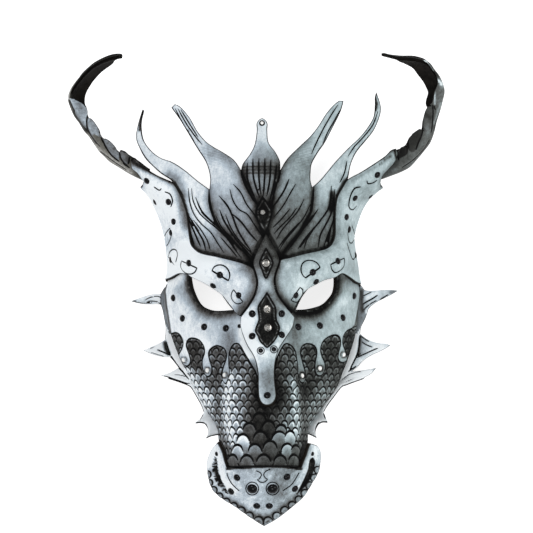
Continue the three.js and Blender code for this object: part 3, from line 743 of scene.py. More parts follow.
def raw_leather(name):
    """The back and the cut edges: dark brown leather, with fibres and burnished patches."""
    f = Finish(name, Specular_IOR_Level=0.05)
    fibres = f.noise(0.8, detail=4, roughness=0.7, stretch=(1, 1, 2.2))
    patches = f.noise(9, detail=3)
    share = fibres * 0.6 + patches * 0.4
    f.feed(Base_Color=f.ramp(share, (0.3, (0.0054, 0.0042, 0.0033)),
                             (0.7, (0.0195, 0.015, 0.0114))))
    f.feed(Roughness=0.85 - patches * 0.3)
    f.feed(Normal=f.bump(fibres, strength=0.6, depth=0.25))
    return f.material


def horn_paint(name):
    """Olive grey over black, with paler lobes, lighter along the ridges, partly worn paint and
    partly painted highlight, and dark in the grooves.
    """
    f = Finish(name, Specular_IOR_Level=0.05)
    tone, line, edge = f.attribute("tone"), f.attribute("line"), f.attribute("edge")
    lobe, green = f.attribute("lobe"), f.attribute("green")
    clouds = f.noise(7, detail=4, roughness=0.6)
    streaks = f.noise(1.8, detail=3, roughness=0.6)
    blotches = f.noise(3.4, detail=3, roughness=0.6)
    tone = tone * (1 + (clouds - 0.5) * 0.5 + (streaks - 0.5) * 0.7)
    tone = tone - lobe * blotches.between(0.5, 0.72) * 0.16
    tone = tone * line.between(-0.05, 0.22) * edge.between(0.1, 1.0, 0.25, 1.0)
    tone = tone.most(0.0).least(1.0)
    olive = f.mix(green, f.ramp(tone, *olive_tones), f.ramp(tone, *green_tones))
    f.feed(Base_Color=f.mix(lobe, olive, f.ramp(tone, *silver_tones)))
    f.feed(Roughness=0.55 - clouds * 0.25)
    f.feed(Normal=f.bump(streaks * 0.6 + clouds * 0.4, strength=0.5, depth=0.3))
    return f.material


def horn_hollow(name):
    """Nearly black leather inside the horns."""
    f = Finish(name, Specular_IOR_Level=0.07)
    clouds = f.noise(5, detail=4, roughness=0.6)
    fibres = f.noise(0.9, detail=3, roughness=0.7)
    f.feed(Base_Color=f.ramp(clouds, (0.3, (0.005, 0.0045, 0.004)),
                             (0.75, (0.016, 0.0135, 0.0115))))
    f.feed(Roughness=0.45 + fibres * 0.35)
    f.feed(Normal=f.bump(fibres, strength=0.5, depth=0.2))
    return f.material


def glossy_black(name):
    f = Finish(name, Specular_IOR_Level=0.16)
    smears = f.noise(1.2, detail=2)
    f.feed(Base_Color=f.ramp(smears, (0.3, (0.002, 0.002, 0.002)), (0.7, (0.007, 0.007, 0.008))))
    f.feed(Roughness=0.06 + smears * 0.12)
    return f.material


def crystal(name):
    f = Finish(name, Specular_IOR_Level=0.8)
    flecks = f.noise(0.8, detail=1)
    f.feed(Base_Color=f.ramp(flecks, (0.35, (0.42, 0.38, 0.33)), (0.62, (0.93, 0.91, 0.86))))
    f.feed(Metallic=0.75 + flecks * 0.25)
    f.feed(Roughness=0.04 + flecks * 0.08)
    return f.material


def pearl(name):
    f = Finish(name, Coat_Roughness=0.08)
    sheen = f.noise(2.0, detail=1)
    f.feed(Base_Color=f.ramp(sheen, (0.35, (0.93, 0.90, 0.84)), (0.65, (0.98, 0.97, 0.95))))
    f.feed(Roughness=0.18 + sheen * 0.1)
    f.feed(Coat_Weight=0.6 + sheen * 0.4)
    return f.material


silver_paint = painted("silver_paint")
scaled_paint = painted("scaled_paint", scales=True)
crest_paint = painted("crest_paint", mottle=0.15, hatch=0.8)
raw_edge = raw_leather("raw_edge")
cap_paint = painted("cap_paint", mottle=0.23)
frill_paint = painted("frill_paint", mottle=0.12, pale=True)
horn_outside = horn_paint("horn_outside")
horn_inside = horn_hollow("horn_inside")
black_gloss = glossy_black("black_gloss")
clear_crystal = crystal("clear_crystal")
pearl_white = pearl("pearl_white")

# What is drawn on the page

crest_outline = outline([
    [-70.3, 83.2, -79, 89.5, -88, 98, -94, 107, -97.5, 115.5, -96.5, 124, -94.5, 131.5,
     -92.5, 137.5],
    [-91.5, 136.5, -93, 130.5, -93.5, 124, -92, 115, -86.5, 107, -79, 101, -70, 97.5, -60, 91,
     -51, 83.5, -42, 77],
    [-41, 83.5, -42, 91, -45, 99, -51, 108.5, -58, 120, -64, 130, -70.5, 139], [-68, 141.5],
    [-65, 140.5, -61.5, 137.5, -56, 130.5, -51, 121.5, -45, 114, -39, 109.5, -32, 105.5, -25, 101,
     -21.5, 97.5, -17.5, 92],
    [-16, 96.5, -10.5, 104, -7, 111.5, -5.5, 121.5, -5.5, 127.5, -1.5, 131, 2.5, 127.5, 2.5, 121.5,
     3.5, 112.5, 8.5, 105.5, 12, 98.5, 12.5, 92],
    [18, 100.5, 27.5, 110, 35, 117, 41, 124.5, 47, 134, 52.5, 140.5, 57, 144.2], [60.5, 144],
    [60, 141.5, 58, 135.5, 52.5, 124.5, 46.5, 113, 41, 105, 36.5, 96.5, 35.5, 89.5, 35.5, 83.5,
     37, 78.5],
    [42.5, 83.5, 48.5, 90.5, 55.5, 99, 64, 108, 73, 116.5, 79, 124, 83.5, 132, 84.5, 140.5,
     84.5, 146.5, 85.5, 150.5],
    [88, 143.5, 89, 137.5, 87.5, 130.5, 83.5, 121.5, 77.5, 114, 70.5, 105.5, 66.3, 96.5, 64, 86.5,
     63.4, 82, 62, 77], [61, 60, 53, 38, 46, 25], [22, 13, 10, 5, 1, 1, -8, 5, -20, 13, -50, 24],
    [-58, 38, -66, 60, -71.5, 79],
])
plate_outline = outline([
    [-4, 33.5, -7.5, 25, -8.5, 20, -6, 11.5, -5, 5.5, -6.5, -2.5, -11.5, -11.5, -18, -20.5],
    [-18, -29, -13.5, -41, -7.5, -51.5, -4.8, -62.5, -4.5, -74.5, -3.8, -82, -1, -86.5, 3, -87.5,
     7, -85.5, 9.3, -80.5, 8.5, -72, 8, -62.5, 9, -53, 12, -44, 17.5, -35.5, 22, -28, 23.5, -20.5],
    [16.5, -12, 10, -2.5, 8, 5.5, 8.5, 12, 11.5, 20.5, 11.5, 25, 7, 35, 1.5, 43.5],
])
brow_outlines = [
    outline([
        [-11, -13, -6, -5.5, -4, 1, -4, 5.5, -5, 10.5, -8.5, 16.5, -14.5, 20, -24.5, 23, -37, 26,
         -46.5, 28, -51.5, 30.5, -55.5, 35.5, -57, 44, -58.5, 57, -61, 66, -64, 73.5, -69, 81.5,
         -75, 84.5, -83, 88, -90.5, 92.5, -95, 97.5, -99, 101, -102, 99],
        [-101, 92.5, -96.5, 88, -92, 82], [-98, 60, -94, 20, -80, 7],
        [-72, 9, -65.5, 12, -59.5, 11.5, -54, 8.5, -46.5, 5, -39, 0.5, -32, -4.5, -26, -12,
         -21.5, -18, -17.5, -20.5],
    ]),
    outline([
        [15, -12, 9, -4.5, 7, 2.5, 7, 9, 9, 16.5, 13, 23, 20, 25, 31, 28, 42.5, 30.5, 48.5, 32.5,
         52.5, 37, 54, 44, 54, 57, 54.5, 64.5, 56, 71.5, 60, 79, 64, 84.5, 73, 89.5, 82, 95,
         92, 102, 96.5, 106.5, 100.5, 108], [102, 104, 101, 99, 97.5, 94, 90.5, 86.5, 89, 81.5],
        [92, 60, 88, 20, 80, 3],
        [71.5, 5.5, 67, 8.5, 60, 12, 54, 9, 46.5, 7, 39.5, 3.5, 32.5, -0.5, 28, -6, 24.5, -12,
         22, -17.5],
    ]),
]
brow_foot = 12
eye_outlines = [
    outline([
        [-28, -10, -37, 2.5, -46, 9, -54, 12, -56.5, 10, -56, 5, -54, -1.5, -50, -9, -45, -13,
         -37, -15.5, -24, -15],
    ]),
    outline([
        [26.8, -9.8, 30, -4, 36.5, 3.8, 46, 10, 53, 12, 54.5, 9.5, 54.5, 3, 53, -3, 50, -7,
         45.5, -10.5, 38.5, -13, 31, -14.5, 24.6, -14.8],
    ]),
]
cap_outline = outline([
    [-40.5, -121.5, -43.5, -129, -44, -137, -42.5, -146, -39, -153, -32.5, -159, -22, -165.5,
     -10.5, -173.5, 0, -180],
    [10.5, -174, 21.5, -165.5, 30.5, -157.5, 37, -147.5, 42, -138.5, 43.5, -130.5, 43.5, -123,
     41, -118.5, 35.5, -116.5], [34, -119.5, 31.8, -126, 29.4, -131.5, 28.4, -134.4],
    [19.5, -134.4], [18, -128], [-18, -128], [-19.5, -134.4], [-28.4, -134.4],
    [-29.8, -130.5, -31.8, -123, -34, -118.5, -35.5, -115.5],
])
slit_outlines = [
    outline([
        [-36, -128, -35, -137, -31.5, -146, -26.5, -155],
        [-32, -152, -37, -144, -39.2, -135, -38, -127],
    ]),
    outline([
        [38.5, -130.5, 37, -139, 32.5, -147.5, 25, -155],
        [29.5, -146, 33.5, -137, 35, -129.5, 37, -127.5],
    ]),
]

pearl_places = [[-61, -53], [-43, -61], [-30, -64.5], [60.5, -49], [42.5, -59.5], [29, -65]]
pearl_size = 1.75

# The edge of the scales under the silver cheeks, from the left rim over the drips to the right rim
scales_edge = page([
    160, 338, 168, 336, 171, 334, 176, 332.6, 180.5, 335.5, 183, 341.5, 182, 348, 179, 354,
    179.6, 358, 182.5, 363.5, 187, 366, 190.2, 362, 188.6, 354, 186.2, 347, 187, 341, 191.5, 338,
    199, 340, 203.5, 346, 204.4, 352.5, 202.2, 360, 202.4, 367.5, 204.6, 374, 208.2, 376.4,
    211.4, 373, 211.5, 367, 209.4, 360, 208.4, 353.5, 210.8, 348.5, 216.8, 345.6, 223.3, 347.8,
    226, 352.5, 226, 359, 223.4, 366.5, 221.8, 373, 222.4, 380, 225.2, 383.4, 227.6, 379,
    229, 371.5, 228.4, 362.5, 229, 354, 231.4, 346.8, 235, 343.4, 239.6, 344.8, 245, 354,
    250.4, 363, 255.6, 372, 259, 382, 264, 392, 271, 384, 275, 368, 276.4, 360, 280.4, 350.4,
    285.2, 343.8, 290.6, 344.8, 295.2, 350.4, 297.2, 359.5, 298.2, 368.5, 298.5, 376, 300.8, 381.6,
    304, 382.2, 305.4, 377.5, 304.9, 370.5, 302.9, 362.5, 300.8, 354.5, 301.2, 348.2, 305, 344,
    311, 344, 315.6, 347.2, 317, 353.3, 315.6, 361.5, 315.1, 368.5, 316.4, 373.8, 319.7, 375.8,
    323.2, 373.6, 325.2, 368.5, 324.8, 362.5, 321.8, 355.3, 320.8, 348.2, 323.4, 341, 329.2, 336.4,
    335.5, 334.8, 339.6, 337, 341, 343, 339.6, 350.2, 338.3, 356.5, 339.6, 361, 342.7, 362.6,
    346, 361, 347, 356.4, 344.8, 349.2, 342.8, 343, 343.6, 336, 346.8, 331, 350.8, 328.8,
    356, 326.5, 368, 322,
])

# Large scales at the end of the muzzle: middle and top of each, half its width, how far it reaches
# down, and its tone, from the top down because each lies over those above it
end_scales = [
    [259.3, 412.8, 6.6, 12, 0.07], [249.5, 422.6, 6.4, 12, 0.3], [268.6, 420.5, 6.2, 13, 0.13],
    [281, 424.5, 5.6, 11, 0.42], [243, 434, 6.4, 13, 1], [260.4, 431, 6.8, 14, 0.2],
    [279.2, 431.2, 7.6, 14, 0.52], [290.2, 430.6, 5.2, 11, 0.88], [237.4, 444.4, 5.6, 11, 0.84],
    [255, 443.6, 6.8, 12, 0.48], [270, 440.4, 7, 14, 0.28], [287.3, 443.2, 6, 12, 0.74],
    [296, 445, 4.4, 10, 0.36], [232.2, 454.6, 5, 12, 0.34], [246.8, 454.8, 6.6, 12, 0.4],
    [263.6, 454, 7, 13, 0.32], [280.2, 454.8, 6.4, 12, 0.3], [294.2, 454.4, 5.2, 12, 0.3],
]

# Tooled lines, read off enlarged parts of the picture: those of the crest each after its half width
# in millimetres. A part has a corner in the picture and a scale.
thin, medium, thick = 0.42, 0.62, 1.0
far_corner, far_scale = {"left": (40, 30), "right": (240, 30)}, 1568 / 260
near_corner, near_scale = {"left": (130, 240), "right": (260, 240)}, 1568 / 160
crest_left = [
    [thick, 1210, 835, 1235, 920, 1270, 990, 1308, 1050],
    [thick, 1015, 955, 1020, 1030, 1040, 1110, 1080, 1190, 1130, 1240, 1190, 1300, 1240, 1350,
     1290, 1410],
    [thin, 895, 955, 905, 1040, 930, 1110, 975, 1170, 1030, 1220, 1075, 1290, 1110, 1345],
    [thin, 915, 955, 925, 1030, 960, 1100, 1010, 1150, 1070, 1200, 1130, 1260, 1180, 1330,
     1215, 1375],
    [medium, 940, 1010, 975, 1090, 1030, 1150, 1095, 1212, 1150, 1280, 1190, 1340],
    [medium, 890, 1110, 915, 1180, 945, 1250, 968, 1305],
    [medium, 878, 1130, 903, 1220, 928, 1290],
    [medium, 905, 1130, 945, 1200, 985, 1270, 1000, 1330],
    [thin, 930, 1150, 975, 1210, 1010, 1270, 1028, 1330],
    [thin, 1090, 1250, 1150, 1320, 1190, 1370], [thin, 815, 472, 860, 560, 905, 632, 940, 692],
    [thin, 832, 474, 880, 560, 930, 632, 976, 688], [thin, 850, 480, 905, 570, 950, 640],
    [medium, 1080, 1000, 1130, 1060, 1160, 1120, 1190, 1200, 1230, 1270, 1275, 1335],
    [medium, 1085, 1085, 1110, 1150, 1160, 1230, 1215, 1300, 1280, 1375],
    [thin, 1145, 960, 1165, 1030, 1200, 1082, 1250, 1112, 1290, 1170, 1335, 1240],
    [thin, 1165, 930, 1210, 980, 1245, 1050, 1290, 1110, 1322, 1165],
    [thin, 1060, 1120, 1095, 1190, 1150, 1250, 1220, 1330, 1282, 1400],
    [medium, 1160, 1110, 1215, 1160, 1262, 1222, 1310, 1275],
    [thin, 1120, 1115, 1150, 1190, 1195, 1260, 1250, 1320, 1290, 1360],
    [medium, 1250, 800, 1252, 900, 1290, 1000, 1306, 1040],
    [medium, 1284, 775, 1286, 880, 1306, 960, 1325, 1010],
    [medium, 1320, 775, 1320, 880, 1330, 990], [medium, 1356, 775, 1355, 880, 1347, 1000],
    [medium, 1392, 785, 1386, 900, 1368, 1000], [medium, 1428, 810, 1412, 920, 1385, 1030],
    [thin, 1225, 870, 1262, 950, 1300, 1020], [thin, 1445, 850, 1425, 940, 1396, 1030],
    [thin, 1300, 1180, 1330, 1230, 1362, 1262],
    [thin, 625, 490, 612, 560, 622, 630, 680, 720, 780, 785, 870, 835],
]
crest_right = [
    [thick, 245, 822, 230, 900, 210, 960, 190, 1050],
    [thick, 450, 945, 440, 1020, 430, 1090, 400, 1150, 360, 1220, 320, 1270, 280, 1320, 235, 1385],
    [thin, 590, 450, 545, 520, 500, 600, 465, 670, 430, 748],
    [thin, 612, 468, 572, 540, 532, 610, 500, 682],
    [medium, 295, 900, 270, 960, 240, 1010, 200, 1065],
    [thin, 335, 930, 300, 990, 260, 1060, 205, 1130],
    [thin, 385, 1020, 350, 1090, 300, 1150, 250, 1210, 220, 1262],
    [thin, 300, 1080, 250, 1140, 200, 1190], [thin, 340, 1075, 300, 1130, 240, 1190, 206, 1228],
    [medium, 372, 1150, 312, 1210, 262, 1270, 232, 1310],
    [thin, 420, 1060, 385, 1130, 330, 1200, 275, 1265, 240, 1320],
    [thin, 645, 790, 630, 860, 602, 920],
    [medium, 550, 940, 545, 1020, 530, 1080, 490, 1140, 440, 1200, 390, 1260, 350, 1318],
    [medium, 572, 960, 562, 1040, 547, 1110, 512, 1180, 482, 1240, 470, 1312],
    [medium, 585, 1060, 562, 1150, 532, 1230, 505, 1308],
    [medium, 500, 1130, 450, 1190, 402, 1250, 362, 1312],
    [medium, 470, 1080, 430, 1140, 382, 1200, 332, 1270, 292, 1325],
    [medium, 548, 1180, 542, 1230, 532, 1295],
    [thin, 832, 490, 802, 570, 748, 640, 692, 700, 652, 760],
    [thin, 470, 1160, 430, 1220, 400, 1270, 385, 1318],
]
brow_left_marks = [
    [805, 300, 830, 262, 880, 245, 930, 260, 965, 300, 978, 350, 966, 398], [805, 300, 966, 398],
    [510, 205, 500, 245, 508, 290, 540, 325, 590, 335, 635, 315, 660, 275], [510, 205, 660, 275],
    [1018, 485, 1000, 515, 995, 560, 1020, 605, 1060, 626, 1100, 612], [1018, 485, 1106, 604],
    [380, 165, 395, 115, 430, 90, 460, 105, 468, 150, 452, 215], [375, 160, 437, 243],
]
brow_left_far = [
    [785, 1195, 760, 1230, 748, 1280, 755, 1305, 775, 1290, 795, 1235, 785, 1195],
    [755, 975, 785, 990, 800, 1030, 790, 1065], [690, 945, 720, 965, 732, 955],
]
brow_right_marks = [
    [445, 370, 415, 340, 402, 290, 415, 235, 455, 205, 505, 203, 555, 225, 588, 268],
    [588, 268, 445, 370], [690, 240, 700, 285, 735, 318, 780, 305, 815, 265, 825, 215, 822, 178],
    [690, 240, 822, 178], [390, 462, 420, 490, 418, 540, 395, 590, 360, 610, 320, 600, 300, 590],
    [390, 462, 300, 590], [850, 30, 870, 100, 905, 190, 935, 150],
]
brow_right_far = [
    [655, 1180, 648, 1230, 655, 1275, 670, 1285, 685, 1260, 685, 1220, 672, 1180],
    [725, 945, 690, 955, 665, 1000, 655, 1050, 660, 1075, 680, 1082, 700, 1060],
    [765, 910, 770, 925, 800, 920, 825, 905],
]
lozenges = [
    page([262.5, 196.5, 256, 210, 258, 222, 265, 232, 270, 221, 271.5, 210]),
    page([266, 248, 262, 256, 259.5, 263, 262, 270, 266, 278.5, 270.5, 270, 273, 263, 270.5, 256]),
    page([267, 292.5, 262, 300, 258, 307, 258.6, 314, 258.8, 320, 256.6, 326, 255.4, 331, 258, 336,
          260, 341, 263.5, 344.5, 267, 347.5, 271.5, 344, 275, 340, 277.6, 335, 279.6, 327.5,
          277, 321, 276, 316, 275.7, 308, 271.5, 300]),
]
cap_lines = [
    [355, 820, 375, 880, 420, 950, 490, 1015], [1165, 820, 1130, 880, 1080, 950, 990, 1015],
    [690, 795, 735, 818, 741, 850, 716, 888], [840, 775, 792, 800, 770, 835, 785, 870, 812, 888],
    [700, 893, 720, 915, 755, 925, 790, 912, 812, 888],
]


def ring(middle, radius):
    """A circle as a closed line."""
    turn = np.linspace(0, 2 * math.pi, 21)
    return np.stack([middle[0] + radius * np.cos(turn), middle[1] + radius * np.sin(turn)], 1)


def shades(at, changes):
    """How much lighter or darker the paint is at pixels of the picture. Each change is how much,
    how many pixels it reaches, and the pixel or the line that it lies on."""
    total = np.zeros(len(at))
    for change, radius, *line in changes:
        line = pairs(line)
        away = near_line(at, line) if len(line) > 1 else np.hypot(*(at - line[0]).T)
        total += change * bell(away / radius)
    return total


def rightward(at, start, width):
    """From 0 at a pixel across the picture to 1, `width` pixels to the right of it."""
    return ease((at[:, 0] - start) / width)


def downward(at, start, height):
    """From 0 at a pixel down the picture to 1, `height` pixels below it."""
    return ease((at[:, 1] - start) / height)


def tabled(rows, at, column=1):
    """A value that goes evenly from row to row of [at, value]."""
    table = np.array(rows, float)
    return np.interp(at, table[:, 0], table[:, column])


def inward(flat, loops):
    """How far inside closed loops a place lies: below zero outside them."""
    inside = np.any([within(flat, loop) for loop in loops], axis=0)
    return Strokes(loops).away(flat) * np.where(inside, 1, -1)


def green_share(at):
    """The right side of the mask is painted a little greener, partly the paint's own tint and
    partly painted shade of the side away from the light.
    """
    return rightward(at, 235, 70)


# Face, with silver cheeks over rows of scales

face_surface = Face()
crest_flat = face_surface.flat(crest_outline)
plate_flat = face_surface.under(plate_outline, layer)
eyes_flat = [face_surface.flat(line) for line in eye_outlines]


def face_rim(low, high, foot):
    """The part of the face between two heights on the page and over a foot, as a closed loop."""
    y = np.linspace(low, high, round((high - low) / rim_cut) + 1)
    left, right = (face_surface.flat(np.stack([0 * y + outside, y], 1), foot)
                   for outside in (-999, 999))

    def across(a, b):
        return np.linspace(a, b, round(np.hypot(*(b - a)) / rim_cut) + 1)[1:-1]

    return np.vstack([left, across(left[-1], right[-1]), right[::-1], across(right[0], left[0])])


face_loop = face_rim(-134.3, 60, 0.3)
crest_gap = face_surface.flat(grown(crest_outline, 0.5))
edge_flat = spaced(face_surface.flat(spaced(scales_edge, 0.5)), 0.5)
scaled_region = np.vstack([edge_flat, pairs([300, -30, 300, -220, -300, -220, -300, -30])])


def end_arch(off, half):
    """How far the round top of a large scale has come down, `off` half widths from its middle."""
    return (1 - np.sqrt(np.maximum(1 - off * off, 0))) * half * 1.25


def end_scale_at(at):
    """Which large scale covers a pixel: its number or -1, and how far the pixel is from its top as
    a share of its length."""
    number, depth = np.full(len(at), -1), np.zeros(len(at))
    for i, (x, top, half, reach, _) in enumerate(end_scales):
        off = (at[:, 0] - x) / half
        down = at[:, 1] - top
        arch = end_arch(off, half)
        found = (np.abs(off) < 1) & (down > arch) & (down < reach + 6)
        number[found], depth[found] = i, ((down - arch) / reach)[found]
    return number, depth


def end_scale_lines():
    """The round tops of the large scales, as far as later scales leave them in sight."""
    lines, widths = [], []
    for i, (x, top, half, _, _) in enumerate(end_scales):
        off = np.linspace(-1, 1, 17) * 0.985
        arch = np.stack([x + half * off, top + end_arch(off, half)], 1)
        shown = end_scale_at(arch + [0, -0.3])[0] <= i
        if shown.sum() < 4:
            continue
        first, last = np.nonzero(shown)[0][[0, -1]]
        lines.append(face_surface.flat(spaced(page(arch[first : last + 1]), cut)))
        t = np.linspace(-1, 1, len(lines[-1]))
        widths.append(0.95 * (1 - 0.72 * t**2))
    return lines, widths


# Black painted shade beside the end of the muzzle, where its sides fall away by the cap's wings:
# [pixel going down, where it starts on the left, on the right]
end_sides = [[436, 214, 318], [441, 221.6, 304], [445, 223.8, 302], [450, 226, 300],
             [458, 227.6, 298.6], [470, 228.4, 298.2]]
scale_seen = 0.75  # how far the scales keep their width as seen from the front
end_lines, end_widths = end_scale_lines()
borders = Strokes([edge_flat])
eye_edges = Strokes(eyes_flat, closed=True)


def scaled_zone(p):
    return within(p, scaled_region) & (p[:, 1] > -134)


face_sheet = Sheet(
    face_surface, [face_loop, crest_gap, *eyes_flat], spacing=1.5, finer=(0.9, scaled_zone),
    strokes=[edge_flat, *end_lines])
flat = face_sheet.flat
at = pixels(face_sheet.place[:, :2])
border = borders.away(flat) * np.where(within(flat, scaled_region), 1, -1)
number, depth = end_scale_at(at)
large = number >= 0
end_marks = Strokes(end_lines, end_widths).away(flat)

# Rows of scales: how wide and how far apart they are going down, in millimetres
width = along([[-20, 6.2], [-60, 6.5], [-85, 6.3], [-105, 6.1], [-134, 6.2]], flat[:, 1])
row_step = 0.25
rows = np.arange(60, -140, -row_step)
pitch = along([[-20, 4.7], [-60, 4.9], [-85, 5.1], [-105, 5.3], [-134, 5.5]], rows)
down = np.interp(-flat[:, 1], -rows, np.cumsum(row_step / pitch))
spread = ease(border / 0.8) * ~large * ease((end_marks + 0.2) / 0.6)
across = scale_seen * face_sheet.place[:, 0] + (1 - scale_seen) * flat[:, 0]
cell = np.stack([across / width, down, spread], 1)

cheek_silver, scale_tone, cap_silver = 0.97, 0.33, 0.76
# Lighter and darker places on the silver cheeks, among them painted shadow under the lower left
# corner of the nose plate and painted shade below the eyes and beside the nose.
silver = cheek_silver + shades(at, [
    [-0.3, 7, 231, 338], [-0.16, 12, 222, 330], [-0.04, 14, 205, 335], [-0.1, 12, 297, 336],
    [0.22, 4.5, 331, 311, 342, 302], [-0.25, 6, 347, 277], [-0.22, 7, 317, 309],
    [0.1, 5, 196, 291, 210, 303, 228, 307], [-0.12, 4, 180, 289, 188, 303],
    [-0.14, 7, 181, 290], [-0.08, 8, 352, 279], [0.45, 4, 245, 334, 248, 344, 251, 356],
    [0.22, 7, 200, 346], [0.15, 7, 171, 273], [-0.5, 3, 251.5, 359, 256, 371, 259, 384],
    [-0.35, 6, 228, 350], [-0.55, 5, 244, 311], [-0.2, 8, 308, 313],
    [-0.22, 6, 290, 322, 294, 338, 297, 352],
])
# The right side is painted darker, as shade on the side away from the light.
silver -= 0.15 * rightward(at, 262, 30) + 0.06 * rightward(at, 285, 10)
silver -= 0.252 * downward(at, 350, 26) * (at[:, 0] > 290)
silver -= 0.22 * downward(at, 346, 24) * (at[:, 0] < 232)
# Painted shade falling into each eye socket, partly airbrushed paint.
from_eye = eye_edges.away(flat)
silver -= 0.75 * bell(from_eye / 4) + 0.14 * bell(from_eye / 8)

# The scales are lighter on the left ridge and flank, partly dry-brushed silver and partly painted
# light falling from the left, and darker in the valley and on the right, painted shade.
scaled = scale_tone + shades(at, [
    [0.58, 3.4, 229.5, 376, 227, 388, 226.5, 408, 228.5, 428, 233, 442],
    [0.26, 7, 238, 380, 235, 400, 237, 425],
    [0.46, 3, 292, 380, 295.5, 395, 296.5, 412, 297, 434],
    [0.14, 6, 284, 385, 287, 415, 288, 430], [0.66, 5.4, 186, 374, 196, 387, 206, 399],
    [-0.2, 9, 189, 358], [-0.16, 13, 324, 368], [-0.42, 9, 277, 398], [-0.14, 8, 296, 382],
    [-0.1, 8, 225, 372], [0.14, 6, 333, 372, 326, 385, 318, 400, 309, 420],
    [-0.08, 5, 352, 340, 346, 360, 336, 382], [-0.2, 10, 264, 392, 262, 405, 262, 425],
    [-0.7, 3, 278.5, 451.5], [-0.22, 5, 257, 365, 258, 385, 263, 397, 272, 385, 277, 365],
    [0.2, 4, 208, 404, 212, 418, 213, 434], [0.15, 3, 238, 424, 241, 431],
    [-0.14, 3, 303, 385, 303, 440],
])
scaled -= 0.05 * rightward(at, 300, 8) + 0.06 * downward(at, 360, -20)
# Each large scale has its own tone, a painted highlight just under its top, and painted shade
# deepening towards its foot, where the next scale overlaps it.
tones = np.array([row[4] for row in end_scales])
body = tones[number] * (1.10 - 0.55 * np.clip(depth, 0, 1.2)) + 0.03
body += 0.09 * bell((depth - 0.14) / 0.08)
scaled = np.where(large, body, np.maximum(scaled, 0.05))
light_border = 0.20 * bell((border - 1.25) / 0.3) * ~large
tone = np.where(border > 0, scaled + light_border, silver)

# The raw edge of the cheeks: [pixel going down, its inner border]
strip_left = [[286, 167], [290, 165.6], [297, 166.3], [305, 167], [313, 168.3], [320, 169.3],
              [328, 170.6], [334, 171.6]]
strip_right = [[286, 360.5], [300, 359.2], [308, 358], [314, 356.6], [320, 355.6], [325, 354.6],
               [328, 352], [330, 350]]
for strip, sign, strip_tone in ((strip_left, 1, 0.46), (strip_right, -1, 0.44)):
    inside_strip = sign * (tabled(strip, at[:, 1]) - at[:, 0])
    share = ease(inside_strip / 0.8 + 0.5) * ((at[:, 1] > 284) & (at[:, 1] < strip[-1][0]))
    tone = tone * (1 - share) + strip_tone * share
    tone -= 0.22 * bell((inside_strip - 0.3) / 0.7) * (share > 0.02)
for middle in pearl_places:
    away = np.hypot(*(face_sheet.place[:, :2] - middle).T)
    tone -= 0.5 * bell((away - pearl_size - 0.5) / 0.45)
below = scale_places(cell[:, 0], cell[:, 1])[0]
lift = (-0.2 - 0.12 * np.clip(below, 0, 1.3)) * spread
lift -= 0.25 * bell(borders.away(flat) / 0.5) * ~large
lift = np.where(large, -0.12 - 0.5 * depth, lift)
lift -= 0.35 * bell(np.maximum(end_marks, 0) / 0.4)
lift += 0.5 * bell((from_eye - 1.2) / 0.9)
dark_lines = np.minimum(np.where(large | (border > 0), end_marks, no_line),
                        borders.away(flat) - 0.42)
# A black rim round each eye hole, partly black paint and partly painted shade where its edge turns
# inwards, with a thin light line on it.
tone = np.where(from_eye < 2.5, 0.05 + 0.42 * bell((from_eye - 1.55) / 0.28), tone)
# Black painted shade on the muzzle's sides by the cap's wings and along its end, where it steps
# down to the cap.
beside_end = np.maximum(tabled(end_sides, at[:, 1]) - at[:, 0],
                        at[:, 0] - tabled(end_sides, at[:, 1], 2))
beside_end = np.maximum(beside_end, at[:, 1] - 464.4 - 0.0009 * (at[:, 0] - 270) ** 2)
tone *= 1 - 0.95 * ease(beside_end / 0.9) * downward(at, 433, 5)
piece = face_sheet.build(
    "face_shell_leather", scaled_paint, raw_edge, lift=lift,
    attributes={"tone": tone, "line": dark_lines, "edge": face_sheet.edge, "cell": cell,
                "green": green_share(at)})
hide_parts("face_shell")

# Forehead with its five flames. Their borders are lines of pixels going down, and the tones are
# rows of [pixel going down, tone].

flame_borders = [
    [[206, 100], [208.3, 188.4], [210.5, 208], [217, 225], [235, 245], [254, 264]],
    [[240.7, 100], [240.7, 168.5], [246, 186], [256.9, 204], [262, 235]],
    [[280.6, 100], [280.6, 166.3], [277.5, 184], [271.5, 204], [265, 235]],
    [[314.6, 100], [314.6, 186.7], [312, 208], [299.5, 232], [279, 260]],
]
flame_tones = [
    [[140, 0.9], [165, 0.88], [185, 0.92], [205, 0.86], [222, 0.76], [236, 0.62], [250, 0.48],
     [258, 0.4]],
    [[110, 0.9], [140, 0.88], [155, 0.8], [168, 0.84], [180, 0.86], [190, 0.76], [200, 0.66],
     [212, 0.59], [226, 0.52], [240, 0.47], [262, 0.42]],
    [[118, 0.94], [136, 0.88], [147, 0.73], [156, 0.56], [166, 0.44], [180, 0.54], [200, 0.54],
     [235, 0.35]],
    [[100, 0.78], [125, 0.78], [140, 0.82], [155, 0.78], [165, 0.68], [176, 0.64], [190, 0.57],
     [206, 0.5], [222, 0.46], [240, 0.44], [262, 0.38]],
    [[90, 0.8], [130, 0.84], [160, 0.8], [184, 0.84], [196, 0.74], [208, 0.58], [222, 0.48],
     [245, 0.43], [262, 0.38]],
]


